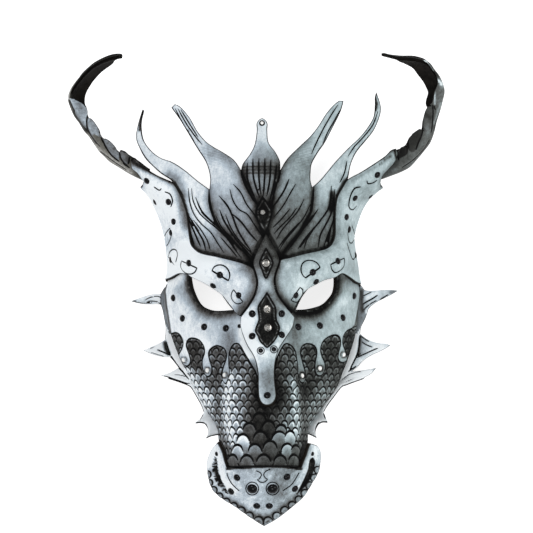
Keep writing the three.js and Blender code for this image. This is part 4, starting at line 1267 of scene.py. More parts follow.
crest_lines, crest_widths, seams = [], [], []
for side, group in (("left", crest_left), ("right", crest_right)):
    for half, *line in group:
        drawn = spaced(enlarged(far_corner[side], far_scale, [line])[0], 0.9)
        crest_lines.append(face_surface.flat(drawn))
        crest_widths.append(tapered(crest_lines[-1], half))
        if half == thick:
            seams.append(crest_lines[-1])
crest_lozenge = face_surface.flat(spaced(closed(lozenges[0]), cut))
crest_ring = face_surface.flat(ring((-1.5, 127), 1.75))
crest_sheet = Sheet(face_surface, [crest_flat], spacing=1.15,
                    strokes=[*crest_lines, crest_lozenge, crest_ring])
flat = crest_sheet.flat
at = pixels(crest_sheet.place[:, :2])
grooves = Strokes(crest_lines, crest_widths).away(flat)
lozenge = inward(flat, [crest_lozenge])
ring_line = Strokes([crest_ring]).away(flat) - 0.42
flame = sum(at[:, 0] > tabled([row[::-1] for row in line], at[:, 1]) for line in flame_borders)
tone = np.choose(flame, [tabled(rows, at[:, 1]) for rows in flame_tones])
tone += shades(at, [[0.10, 5, 190, 190, 198, 215, 206, 232]]) * (flame == 0)
# Painted shadow cast on the crest by the brows and the nose plate that lie over its edges.
over = np.min([near_line(at, pixels(spaced(edge, 3))) for edge in (*brow_outlines, plate_outline)],
              axis=0)
tone -= (0.10 * bell(over / 3.5) + 0.03 * bell(over / 10)) * downward(at, 186, 12)
tone *= 1 - 0.92 * ease((3.0 - over) / 1.4)
# Lighter and darker places on the flames, among them painted shadow of the left brow on the first
# flame.
tone += shades(at, [
    [-0.8, 0.9, 143, 108, 141.5, 115, 139.8, 123, 139.4, 130],
    [-0.8, 0.9, 374.6, 93, 375, 98, 376.6, 104, 375.5, 110],
    [-0.17, 5.5, 228, 156, 238, 172, 243, 186, 250, 206, 257, 230],
    [0.16, 3, 248, 157, 250, 166, 253, 176], [-0.16, 4, 280, 170, 277, 186, 270, 206],
    [-0.15, 7, 214, 150], [-0.12, 6, 228, 158], [0.1, 9, 218, 168],
    [-0.32, 4, 286, 160, 297, 147, 307, 138], [-0.14, 6, 312, 168], [-0.08, 6, 344, 182],
    [-0.12, 2.5, 258, 197, 264, 190, 270, 197, 273, 212, 266, 236],
    [-0.08, 2.5, 258, 197, 256, 212, 262, 232],
    [-0.36, 3.4, 169, 175, 176, 180, 182, 188, 185, 195], [0.12, 9, 200, 224],
    [0.13, 8, 254, 211], [0.09, 13, 268, 196], [0.12, 4, 279, 172, 278, 190],
    [0.13, 4, 249, 146, 249, 165], [-0.1, 11, 285, 218],
    [-0.7, 1.8, 331.8, 193, 331.4, 203, 330.6, 209],
])
tone += shades(at, [[-0.16, 3.2, 252, 170, 274, 170]]) * (flame == 2)
# Each lozenge is black, with a painted highlight on the bevel inside its rim, and darker just
# outside it.
tone = np.where(lozenge > 0, 0.03 + 0.42 * bell((lozenge - 1.5) / 0.22), np.maximum(tone, 0.07))
tone -= 0.22 * bell((lozenge + 1.0) / 1.4) * (lozenge < 0)
# Painted shade in and beside the deep seams between the flames.
beside_seam = Strokes(seams).away(flat)
tone -= 0.24 * bell(beside_seam / 2.0) + 0.06 * bell(beside_seam / 5)
edge_line = np.minimum(np.minimum(grooves, np.abs(lozenge) - 0.35), ring_line)
hatch = bell((at[:, 1] - 170) / 4.5) * ease((22 - np.abs(at[:, 0] - 261.5)) / 4)
hatch *= (0.5 + 0.5 * np.cos(at[:, 1] * 2 * math.pi / 3.4)) ** 4
slanted = 0.5 + 0.5 * np.cos((at[:, 1] + 0.3 * np.abs(at[:, 0] - 262)) * 2 * math.pi / 2.9)
hatch += 0.26 * slanted * shades(at, [[1, 10, 213, 152], [1, 11, 305, 155]])
lift = -0.75 * bell(np.maximum(grooves, 0) / 0.55) - 0.3 * (lozenge > 0.5)
lift -= 0.3 * bell(np.maximum(ring_line, 0) / 0.3)
lift -= 1.6 * bell(beside_seam / 2.2)
lift += 1.6 * ease(crest_sheet.edge / 9) - 0.4
piece = crest_sheet.build(
    "forehead_crest_leather", crest_paint, raw_edge, lift=lift,
    attributes={"tone": tone, "line": edge_line, "edge": crest_sheet.edge, "hatch": hatch,
                "green": green_share(at) * 0.9})
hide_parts("forehead_crest")

# Nose plate

plate_lozenges = [face_surface.under(spaced(closed(line), 0.7), layer) for line in lozenges[1:]]
small_rings = [face_surface.under(ring(middle, 2.7), layer) for middle in ((-2.5, -46), (7.5, -45))]
plate_sheet = Sheet(face_surface, [plate_flat], spacing=0.85,
                    strokes=[*plate_lozenges, *small_rings])
flat = plate_sheet.flat
at = plate_sheet.seen(layer)
lozenge = inward(flat, plate_lozenges)
rings = Strokes(small_rings).away(flat) - 0.2
tone = np.interp(at[:, 1], [236, 262, 272, 284, 300, 330, 400],
                 [0.52, 0.62, 0.78, 0.95, 0.93, 1, 0.84])
# The right side is painted darker, as shade on the side away from the light.
tone -= 0.12 * rightward(at, 262, 10)
tone -= 0.38 * bell(plate_sheet.edge / 2.4) * downward(at, 312, -12)
# Lighter and darker places on the plate, among them a painted highlight along the left edge of the
# strap and painted shade on its right side.
tone += shades(at, [
    [0.12, 3, 246, 322, 250, 345, 258, 372, 259, 392], [-0.26, 10, 263, 374],
    [-0.12, 5, 266, 290], [0.12, 9, 270, 346], [0.08, 11, 261, 340], [-0.18, 10, 283, 308],
    [-0.14, 12, 272, 386],
])
# Each lozenge is black, with a painted highlight on the bevel inside its rim, and darker just
# outside it.
tone = np.where(lozenge > 0, 0.03 + 0.50 * bell((lozenge - 1.15) / 0.22), tone)
tone -= 0.22 * bell((lozenge + 0.4) / 1.3) * (lozenge < 0)
line = np.minimum(np.abs(lozenge) - 0.32, rings)
lift = -0.35 * ease(lozenge / 0.6) - 0.3 * bell(np.maximum(rings, 0) / 0.3)
piece = plate_sheet.build(
    "nose_plate_leather", silver_paint, raw_edge, offset=layer, lift=lift,
    attributes={"tone": tone, "line": line, "edge": plate_sheet.edge, "green": green_share(at)})
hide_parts("nose_plate")

# Brows

plate_gap = face_surface.under(grown(plate_outline, 0.45), layer)
# Lighter and darker places on the brows, among them painted shade along the left brow's inner edge
# by the crest and at its end by the plate.
brow_shades = {
    "left": [
        [-0.22, 8, 169, 243], [-0.46, 4, 169, 177, 177, 184, 181, 196, 184, 212, 186, 224],
        [-0.26, 6, 243, 269], [-0.16, 5, 243, 311], [0.22, 5, 187, 246, 200, 251, 213, 256],
    ],
    "right": [
        [-0.7, 0.8, 394.6, 148, 395.2, 154, 397.3, 160],
        [-0.35, 0.8, 380, 164, 386, 158.5, 391, 156], [-0.3, 0.8, 388, 152, 393, 150],
        [-0.15, 1, 352, 181, 365, 173, 380, 164], [-0.16, 8, 365, 192], [-0.1, 8, 345, 230],
        [0.15, 4, 353, 179, 366, 171, 379, 163], [0.2, 6, 301, 289], [-0.1, 8, 291, 252],
        [-0.14, 6, 352, 268], [-0.26, 6, 291, 308],
    ],
}
# A black band along the upper edge of the left brow, partly black paint and partly painted shadow.
brow_black_edge_and_shade = [128, 154, 135, 163, 144, 168.5, 152, 172.5, 162, 177.5, 174, 182, 178, 186]
for side, brow, marks, far in (("left", brow_outlines[0], brow_left_marks, brow_left_far),
                               ("right", brow_outlines[1], brow_right_marks, brow_right_far)):
    loop = face_surface.under(brow, layer, brow_foot)
    drawn = enlarged(near_corner[side], near_scale, marks)
    drawn += enlarged(far_corner[side], far_scale, far)
    drawn = [face_surface.under(spaced(line, 0.9), layer, brow_foot) for line in drawn]
    brow_sheet = Sheet(face_surface, [loop, plate_gap], spacing=1.15, strokes=drawn)
    flat = brow_sheet.flat
    at = brow_sheet.seen(layer)
    marks = Strokes(drawn, [tapered(line, 0.34, 0.6, 0.6) for line in drawn]).away(flat)
    # The right brow is painted darker, as shade on the side away from the light, and each brow is
    # darker beside the nose plate and along its edges, painted shade.
    tone = 1.0 - 0.19 * rightward(at, 262, 30)
    beside = near_line(at, pixels(spaced(plate_outline, 3)))
    tone -= 0.55 * bell(beside / (6.0 if side == "left" else 3.2)) * downward(at, 256, 12)
    tone -= 0.14 * bell(beside / 10.0) * downward(at, 262, 14)
    tone -= 0.22 * bell((brow_sheet.edge - 0.6) / 2.2) * ease((262 - at[:, 1]) / 10 + 1)
    tone += shades(at, [[-0.20, 8, 226, 281], [-0.12, 9, 160, 222], *brow_shades[side]])
    if side == "left":
        dark_band_width = 1.3 + 1.2 * rightward(at, 144, -12)
        tone -= 0.85 * bell(near_line(at, brow_black_edge_and_shade) / dark_band_width)
        tone += 0.05 * rightward(at, 230, -30)
    lift = -0.4 * bell(np.maximum(marks, 0) / 0.4) + 0.9 * ease(brow_sheet.edge / 7) - 0.2
    piece = brow_sheet.build(
        f"brow_{side}_leather", silver_paint, raw_edge, offset=layer, lift=lift,
        attributes={"tone": tone, "line": marks, "edge": brow_sheet.edge, "green": green_share(at)})
    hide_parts(f"brow_{side}")

# Nose cap

cap_top_y, cap_foot, cap_fall, cap_bend = -134, 113, 0.25, 0.009
cap_side, cap_half, cap_power = 34, 44, 2.6
slit_depth = 1.6


def cap_height(x, y):
    """How high the cap is: it falls forwards and to both sides."""
    down = cap_top_y - y
    return (cap_foot - cap_fall * down - cap_bend * down * np.maximum(down, 0)
            - cap_side * (np.abs(x) / cap_half) ** cap_power)


def border_scales():
    """Half-round marks side by side along the lower edge of the cap."""
    edge = page([206, 470, 207, 479, 210, 487, 215.5, 494, 222, 500, 229.5, 504.5, 237, 509,
                 245, 514, 253, 519.5, 263.5, 525, 273, 519.5, 281, 514, 289, 508.5, 296, 503,
                 302.5, 497, 308, 490, 313, 482, 317, 474, 319.5, 466])
    lines = []
    for (ax, ay), (bx, by) in zip(edge[:-1], edge[1:]):
        middle = np.array([(ax + bx) / 2, (ay + by) / 2])
        way = np.array([bx - ax, by - ay]) / 2
        up = np.array([-way[1], way[0]]) * 0.92
        if up @ (np.array([0, -130]) - middle) < 0:
            up = -up
        turn = np.linspace(0, math.pi, 9)[:, None]
        lines.append(middle - way * 0.86 * np.cos(turn) + up * np.sin(turn))
    return lines


cap_marks = [spaced(line, cut) for line in enlarged((195, 400), 1568 / 140, cap_lines)]
cap_rings = [ring((-9, -151), 4.9), ring((6.5, -151), 4.9)]
cap_scales = [spaced(line, cut) for line in border_scales()]
cap_surface = height_surface(cap_height)
slit_loops = [closed(line) for line in slit_outlines]
# Where the silver of the cap begins under the muzzle; above it the cap is painted black, as shadow
# under the muzzle's end: [pixel across, pixel down]
cap_top = [[226, 470], [238, 469], [250, 468.4], [260, 467.7], [270, 467.2], [280, 467.6],
           [290, 468.6], [300, 470.2]]
cap_sheet = Sheet(cap_surface, [cap_outline], spacing=0.95,
                  strokes=[*cap_marks, *cap_rings, *cap_scales, *slit_loops])
flat = cap_sheet.flat
at = pixels(flat)
marks = Strokes([*cap_marks, *cap_rings]).away(flat) - 0.3
arc_widths = [0.62 * np.sin(np.linspace(0.25, 2.9, len(line))) for line in cap_scales]
arcs = Strokes(cap_scales, arc_widths).away(flat)
in_scale = np.any([within(flat, line) for line in cap_scales], axis=0)
tone = cap_silver + shades(at, [
    [0.06, 12, 264, 478], [-0.12, 12, 288, 498], [-0.12, 9, 280, 480], [-0.1, 6, 272, 497],
    [0.26, 5, 214, 448, 219, 462, 223, 475, 232, 490],
    [0.22, 6, 316, 446, 311, 458, 306, 472, 297, 488],
    [0.22, 4, 207, 452, 206, 466, 211, 484, 224, 498], [-0.1, 10, 240, 498],
    [-0.16, 7, 300, 471], [-0.34, 2.6, 310, 446, 307, 453, 302, 463], [-0.14, 10, 288, 482],
    [-0.26, 3.2, 212, 493, 225, 501, 236, 508], [0.18, 7, 248, 499],
    [-0.18, 2.6, 250, 515, 262, 519, 274, 515, 288, 508], [0.16, 4, 206, 456, 206, 470, 211, 486],
])
tone -= 0.06 * downward(at, 484, -8) * ease((26 - np.abs(at[:, 0] - 265)) / 6)
tone = np.where(in_scale, 0.34 + 0.34 * bell((arcs - 1.0) / 0.5), tone)
tone -= 0.25 * bell(arcs / 1.6) * ~in_scale
slit = -inward(flat, slit_loops)
on_left = flat[:, 0] < 0
hatching = 0.62 * (np.cos(at[:, 1] * 2 * math.pi / 3.3) > 0.45) * (slit > -1.5) * (slit < 0)
hatching *= (flat[:, 0] > -36.5 - 0.3 * (flat[:, 1] + 140)) * on_left
tone = np.where(slit < 0.2 - 0.2 * on_left, 0.02 + hatching, tone)
# Painted shadow under the end of the muzzle.
above_cap = tabled(cap_top, at[:, 0]) - at[:, 1]
tone *= 1 - 0.97 * ease(above_cap / 0.8 + 0.5) * (np.abs(flat[:, 0]) < 29)
line = np.minimum(marks, arcs)
lift = -0.3 * bell(np.maximum(line, 0) / 0.4) - 0.25 * in_scale
lift -= slit_depth * ease(-slit / 0.35)
piece = cap_sheet.build(
    "nose_cap_leather", cap_paint, raw_edge, lift=lift,
    attributes={"tone": tone, "line": line, "edge": cap_sheet.edge + 0.15,
                "green": green_share(at) * 0.5})
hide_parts("nose_cap")

# Horns: a strip of leather rolled into a gutter. At stations from the base to the tip: x and y of
# the outer edge and of the inner edge as seen, height of the middle, half its depth, and how far
# the front wall reaches across.

horns = {
    "left": [
        [-89, 83, -88, 93, 17, 6, 1], [-93.5, 84, -94, 97.6, 21, 8, 1],
        [-101.8, 88, -101, 102.4, 26, 9.5, 1], [-109.4, 92.7, -105.6, 105.6, 29, 10.5, 1],
        [-117, 97.3, -110.2, 106.4, 31, 11, 1], [-121.6, 101.8, -117, 113.2, 33, 11, 1],
        [-126.2, 106.4, -123.1, 117, 35, 11, 1], [-132.2, 115.5, -125, 121.6, 36, 11, 1],
        [-136.8, 120.8, -128.4, 127, 37, 11, 1], [-140.6, 127, -133, 132.2, 39, 11, 1],
        [-144.4, 132.2, -134.2, 136.8, 41, 11, 1], [-147.4, 139.1, -135, 141.4, 43, 11, 0.88],
        [-149, 144.4, -135.3, 146, 45, 10, 0.38], [-148.6, 149, -134.5, 150.5, 48, 9.5, 0.15],
        [-146.7, 153.5, -131.5, 156.6, 51, 9, 0.12], [-142.9, 158.8, -127.6, 162.7, 54, 8, 0.15],
        [-138.3, 164.2, -123.4, 167.6, 58, 7, 0.12], [-131.8, 170.3, -118.1, 171.5, 62, 6, 0.12],
        [-124.2, 174.6, -114.3, 174.3, 66, 4.5, 0.12],
        [-116.1, 177.4, -112.6, 176.9, 70, 2.6, 0.15], [-108.9, 178.7, -108.8, 178.5, 73, 0.8, 0.5],
    ],
    "right": [
        [85, 83, 91, 96, 17, 6, 1], [90.4, 84.5, 96.5, 103, 21, 8, 1],
        [97.3, 87, 101.8, 107.7, 26, 9.5, 1], [104.9, 90, 106.4, 109.8, 29, 10.5, 1],
        [111, 93.5, 109.4, 113.2, 31, 11, 1], [116.3, 99.2, 111.7, 118.2, 33, 11, 1],
        [121.6, 105.6, 116.3, 121.6, 36, 11, 1], [126.2, 111.7, 120, 123.9, 37, 11, 1],
        [129.2, 119.3, 120.8, 130.7, 39, 11, 1], [131.3, 128, 122.4, 136, 41, 11, 1],
        [133.8, 136, 124.6, 140.6, 43, 11, 0.95], [135.7, 142.9, 121.8, 143.4, 45, 10, 0.55],
        [137.3, 151.2, 123.5, 150.5, 48, 9.5, 0.55], [135.6, 158.1, 121.6, 155.8, 51, 9, 0.25],
        [133, 163.4, 118.1, 161.9, 54, 8, 0.15], [129.7, 167.7, 114.8, 166.4, 58, 7.5, 0.12],
        [126.2, 172.5, 111.3, 170.6, 61, 6.5, 0.12], [121.6, 175, 107.2, 173.3, 64, 5.5, 0.12],
        [113.6, 176.8, 104.2, 174.9, 67, 4.5, 0.12], [102.4, 177.6, 99.9, 176.4, 70, 2.4, 0.15],
        [90.4, 180.5, 90.2, 179.5, 74, 1.4, 0.5],
    ],
}
back_reach = 0.92  # of the wall behind
horn_length, horn_girth = 150.0, 44.0  # of the flat strip
# Where the inner side of a horn is notched or bulges: [station, share of the width, half length]
horn_notches = {
    "left": [[9.0, 0.16, 0.16], [5.75, 0.08, 0.12], [4.0, 0.13, 0.16], [2.2, 0.12, 0.16]],
    "right": [[10.1, 0.20, 0.16], [7.0, 0.16, 0.16], [3.6, 0.16, 0.16], [2.0, 0.10, 0.16]],
}

# Lobes along the inner side of each horn: tone, and outline in pixels of the picture
horn_lobes = {
    "left": [
        [0.72, 70, 98.3, 74, 98.3, 78, 99.8, 82, 102.8, 85.7, 107, 89, 112, 87.6, 116, 86.6, 121,
         86.3, 127, 87, 130, 84, 126.5, 80, 121, 76, 115, 72, 107, 69.5, 101],
        [0.55, 87.7, 116, 91, 115.5, 95, 119, 98, 123.5, 100, 129, 101, 137, 97, 135.3, 94, 134.3,
         90.5, 136, 88, 131, 86.8, 125, 87, 120],
        [0.48, 101.5, 138, 104.5, 135.5, 111, 138, 116.5, 143, 120, 148, 120, 152, 119.3, 156.5,
         118.5, 160.5, 114, 157.5, 110, 154, 106.5, 148.5, 103.5, 142.5],
        [0.42, 120, 151, 123, 149, 128, 150, 131, 154, 130, 157, 128.8, 163, 125.5, 165,
         122.5, 162.5, 120.5, 158],
    ],
    "right": [
        [0.46, 442.5, 84, 438.5, 84.5, 434.5, 88.5, 433, 93, 433, 98.5, 434, 104, 436, 108,
         438.5, 104, 440, 98, 440.5, 91],
        [0.4, 432.4, 104, 427, 107, 423, 112, 421, 117, 420.5, 122, 421.5, 127, 423.5, 131,
         428, 131, 432.3, 127, 433, 119, 432.9, 111],
        [0.27, 422, 127, 417, 128, 412, 131.5, 408.5, 136, 406.5, 141, 407, 146, 411, 152,
         416, 150, 418, 144, 421, 137.5, 423, 131.5],
        [0.17, 407.5, 145, 403, 142.5, 398, 144.5, 395, 149, 396, 157, 402, 157.5, 408, 152],
    ],
}
# Dark lines on a horn: half the width in millimetres, and line
horn_lines = {
    "left": [
        [0.55, 88.5, 113.5, 87.1, 118, 86.6, 123, 86.8, 128, 88, 131.5, 90.5, 136, 93, 140,
         95.5, 144], [0.35, 90, 116.5, 93.5, 119.5, 96.5, 124, 99, 130],
        [1.5, 99.4, 130, 101.8, 133, 104, 136.5],
        [0.65, 101.2, 137.5, 103.5, 142.5, 106.5, 148.5, 110, 154, 114, 158, 119, 162],
        [0.55, 119.5, 149.5, 119.6, 154, 120.8, 158.5, 123, 162, 126, 165, 129.5, 168.5],
        [0.35, 105, 136.8, 110, 139, 115, 143.3, 119, 149], [0.6, 123.5, 151.6, 127.5, 152.3],
        [0.75, 130, 154.5, 129.5, 159, 128.6, 164], [0.6, 68.8, 100.5, 70.8, 105.5, 73.8, 111.8],
        [0.5, 123, 163.5, 126, 166.3], [0.3, 100, 152, 108, 158, 117, 164.5, 126, 170.5],
        [0.3, 91, 136.5, 95, 142, 100, 147.5],
        [0.45, 71, 98.6, 75, 98.4, 79, 100, 83, 103.3, 86, 107],
    ],
    "right": [
        [0.5, 432.8, 105, 433.4, 112, 433.2, 120, 432.6, 128, 431.5, 133],
        [0.6, 423.3, 130, 420.8, 137.5, 418, 143.5, 416, 150], [0.4, 422.3, 118, 422.6, 127],
        [0.5, 408, 141.5, 408.3, 148], [0.5, 442.4, 108, 439.8, 115.5, 436.7, 122.5, 434.8, 131],
        [0.4, 421.5, 128.3, 416.5, 129.8, 412, 133, 409, 138], [0.5, 434, 86.5, 433.2, 92],
        [0.7, 397.5, 148, 397.4, 154, 398.4, 160], [0.3, 430, 140, 424, 150, 414, 160, 402, 168],
        [0.35, 434.2, 105.5, 436, 110],
    ],
}
# Lighter and darker streaks on a horn, partly worn paint and partly painted highlight and shade:
# change, how far it reaches, and line
horn_streaks = {
    "left": [
        [0.26, 1.9, 96.5, 147, 104, 153.6, 112, 160, 121, 166.3, 131, 172.5],
        [0.1, 1.2, 86, 133, 90, 139, 95, 145.5],
        [0.75, 1, 68.3, 98, 68.8, 93, 70.8, 87.5, 73.5, 82.5, 76, 79],
        [-0.16, 2.6, 79, 104, 82, 108, 83.5, 112], [0.1, 1.2, 88.6, 120, 89.5, 130],
        [0.1, 1.4, 92, 133, 97, 133.6], [-0.14, 1.6, 127.5, 154, 127.5, 160],
        [-0.3, 1.7, 73.5, 112, 78, 119, 83, 126, 87, 131],
    ],
    "right": [
        [0.24, 1.1, 440, 104, 437.2, 114, 434.8, 124], [0.1, 2.6, 442, 88, 441.6, 102],
        [0.4, 0.7, 434.6, 93, 434.8, 104], [0.9, 1, 425, 60, 428, 64.8, 432, 70.5],
        [0.7, 1.2, 436, 79.4, 439, 80.8, 441.5, 84], [0.18, 2, 440, 78, 443.5, 86],
        [-0.12, 2.4, 426, 115, 430, 118], [0.1, 3, 427, 122, 427, 131],
        [0.08, 2.5, 430, 130, 424, 142, 412, 154],
        [0.1, 2.5, 420, 156, 408, 164, 394, 170, 384, 175],
    ],
}


def horn_surface(stations, notches, mirrored):
    """The surface of a horn over its flat strip, and a function that tells for flat places where
    they lie on the page, at which station, how far across and at what angle of the gutter."""
    table = np.array(stations, float)
    reach = np.stack([-np.arange(len(table)), table[:, 5], table[:, 6]], 1)

    def smooth_at(at):
        i = np.clip(at.astype(int), 0, len(table) - 2)
        t = (at - i)[:, None]
        p = table[:, :5]
        a, b = p[i], p[i + 1]
        v, w = (b - p[np.maximum(i - 1, 0)]) / 2, (p[np.minimum(i + 2, len(p) - 1)] - a) / 2
        return cubic(a, b, v, w, t)

    def place(flat):
        at = np.clip(flat[:, 0] / horn_length, 0, 1) * (len(table) - 1)
        round_by = flat[:, 1] / horn_girth
        if mirrored:
            round_by = 1 - round_by
        row = smooth_at(at)
        deep = along(reach, -at, 1)
        front = np.clip(along(reach, -at, 2), 0.1, 1)
        front = front * (1 - sum(depth * bell((at - n) / half) for n, depth, half in notches))
        angle = math.pi * (round_by - 0.5)
        share = np.where(angle > 0, front, back_reach) * (1 - np.cos(angle))
        x = row[:, 0] * (1 - share) + row[:, 2] * share
        y = row[:, 1] * (1 - share) + row[:, 3] * share
        z = row[:, 4] + deep * np.sin(angle) * np.where(angle > 0, 0.3 + 0.7 * front, 1)
        return np.stack([x, y, z], 1), at, share, angle

    def surface(flat):
        here = place(flat)[0]
        step = 0.25
        low, high = np.array([0, 0]), np.array([horn_length, horn_girth])
        sides = [place(np.clip(flat + d, low, high))[0]
                 for d in ([step, 0], [-step, 0], [0, step], [0, -step])]
        normal = np.cross(sides[0] - sides[1], sides[3] - sides[2])
        normal /= np.linalg.norm(normal, axis=1)[:, None] + 1e-12
        return here, normal

    return surface, place


for side in ("left", "right"):
    mirrored = side == "right"
    surface, place = horn_surface(horns[side], horn_notches[side], mirrored)
    n, m = round(horn_length / rim_cut), round(horn_girth / rim_cut)
    u, v = np.linspace(0, horn_length, n + 1), np.linspace(0, horn_girth, m + 1)
    loop = np.vstack([
        np.stack([u[:-1], 0 * u[:-1]], 1), np.stack([0 * v[:-1] + horn_length, v[:-1]], 1),
        np.stack([u[:0:-1], 0 * u[:0:-1] + horn_girth], 1), np.stack([0 * v[:0:-1], v[:0:-1]], 1)])
    horn_sheet = Sheet(surface, [loop], spacing=0.62, coarse=2.4)
    on_page, station, share, angle = place(horn_sheet.flat)
    at = pixels(on_page[:, :2])
    front = angle > 0.05
    drawn = [spaced(page(line), 0.6) for _, *line in horn_lines[side]]
    widths = [tapered(line, row[0], 0.6, 0.5) for row, line in zip(horn_lines[side], drawn)]
    marks = np.where(front, Strokes(drawn, widths).away(on_page[:, :2]), no_line)
    tone = np.where(front, 0.38, 0.30)
    base_pixel, base_tone = {"left": (98.5, 0.06), "right": (84, 0.22)}[side]
    tone = np.where(at[:, 1] < base_pixel, base_tone, tone)
    lobed = np.zeros(len(at))
    for lobe_tone, *lobe in horn_lobes[side]:
        inside = within(at, spaced(closed(lobe), 1.0)) & front
        tone[inside], lobed[inside] = lobe_tone, 1
    tone += shades(at, horn_streaks[side]) * front
    tone *= 1 - 0.9 * ease((2.2 - station) / 0.4) * front * (share > 0.8)
    if mirrored:
        tone -= (0.07 + 0.04 * lobed) * front
        lobed = 0.08 + 0.2 * lobed
    lift = -0.7 * bell(np.maximum(marks, 0) / 0.5) + 0.6 * lobed * ease((share - 0.3) / 0.3)
    piece = horn_sheet.build(
        f"horn_{side}_leather", horn_outside, horn_inside, lift=lift,
        attributes={"tone": tone, "line": marks, "edge": horn_sheet.edge + 0.1, "lobe": lobed,
                    "green": np.full(len(at), 0.8 * mirrored)})
    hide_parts(f"horn_{side}")

# Frills with pointed fins along the rim of each cheek, drawn in pixels of the picture going down:
# the start, and then runs that each begin where the one before ends

frills = {
    "left": [
        [165.8, 286.5], [163, 291, 161.5, 294], [155, 294.2, 147, 295.8, 139, 298.4, 131.3, 301.2],
        [140, 303.2, 150, 304.2, 157, 303.9, 161.5, 304.5],
        [163.2, 310, 165, 319, 166.4, 328, 165.6, 339.5], [160, 343, 152, 346.4, 144, 350.2],
        [150, 352.8, 158, 355.3, 165, 356.6, 170.5, 356.5], [175, 361.8, 179.3, 367.3],
        [174, 370.5, 168, 373.3, 161.3, 375.2], [170, 377.6, 180, 380.7, 188, 383.6],
        [191.5, 386, 196.6, 394.4, 201.4, 403, 204.3, 410.5], [200.4, 417.5, 195.8, 421.3],
        [200.5, 420.8, 205, 421.5], [208.2, 426.5, 208.2, 432, 206.5, 436.5],
        [211, 434.5, 217.5, 433],
    ],
    "right": [
        [358.8, 283.5], [361.5, 287, 364, 290.3], [370, 291, 380, 290.3, 390, 290, 397.6, 290.7],
        [391, 294.5, 384, 298, 377, 301.5, 371, 305.6, 367.5, 309.5],
        [366.6, 313, 365, 317.5, 363.2, 321.5, 360.6, 326.5, 359.3, 333.5],
        [364, 337.3, 371, 341, 379, 343, 386, 343.6, 389.6, 345.2],
        [385, 348.2, 379, 351.3, 371, 355, 363, 360, 357, 366.3, 351, 371.2],
        [358, 370.6, 367, 369.2, 375.4, 367.8], [371, 373, 364, 377, 354, 380.5, 345, 383.8],
        [341, 385.6, 334.6, 393.6, 327, 403.8, 323.2, 410.5], [325.6, 416, 327.2, 420.4],
        [322, 420.3, 318.2, 422.3], [315.6, 427, 315, 431.5, 316.2, 436], [312, 434, 308.6, 432.5],
    ],
}
# Patches of a frill that are painted in a tone of their own: tone and outline
frill_patches = {
    "left": [
        [1, 162, 293, 130, 301, 150, 305, 162, 306],
        [1, 166, 339, 143, 350, 158, 357, 172, 358, 168, 350],
        [0.5, 167, 285, 162, 290, 160, 296, 160, 304, 163, 313, 165.5, 323, 169.3, 334, 173, 334],
        [1, 165, 336, 170, 355, 180, 369, 189, 380, 195, 380, 175, 336],
    ],
    "right": [
        [0.74, 359, 283, 364, 289, 380, 289, 399, 290, 384, 300, 371, 307, 366, 312, 360, 312],
        [0.8, 359.3, 332, 371, 339, 391, 343, 391, 347, 379, 353, 363, 362, 350, 373, 355, 358,
         358, 350],
        [0.52, 356, 283, 364, 290, 363, 300, 363.5, 309, 367.5, 309.5, 367, 316, 364, 322,
         359.5, 329, 357.5, 333, 354, 333],
        [1, 360, 333, 358.5, 345, 357, 352, 350, 370, 344, 382, 336, 382, 352, 333],
    ],
}
# Lighter and darker streaks of a frill, among them painted shadow of the cheek at the roots of the
# fins: change, how far it reaches, and line
frill_streaks = {
    "left": [
        [-0.16, 1.4, 134, 301.3, 142, 301.8, 150, 302.2, 158, 301.8],
        [-0.12, 2.6, 140, 299.5, 152, 298.5], [-0.4, 1.4, 131.5, 301.2, 135, 301.2],
        [-0.06, 3.2, 154, 347.5, 163, 349.5], [-0.95, 1.5, 164.9, 343, 166, 348.5, 168.3, 353],
        [-0.12, 1, 167, 306, 168.6, 320, 170, 332],
    ],
    "right": [
        [-0.25, 1.2, 391, 292.4, 397, 290.8], [-0.25, 1.5, 361.5, 292, 362, 300, 362.5, 311],
        [-0.45, 1.2, 360.3, 337, 359.5, 346, 358.3, 354], [-0.14, 2.6, 364, 342, 362, 353],
        [0.1, 3, 382, 346, 372, 351], [-0.3, 1.2, 373.6, 369.4, 375, 368.3],
        [0.35, 0.9, 366, 310.4, 366.3, 312.5], [0.1, 2, 368, 297, 378, 293],
    ],
}
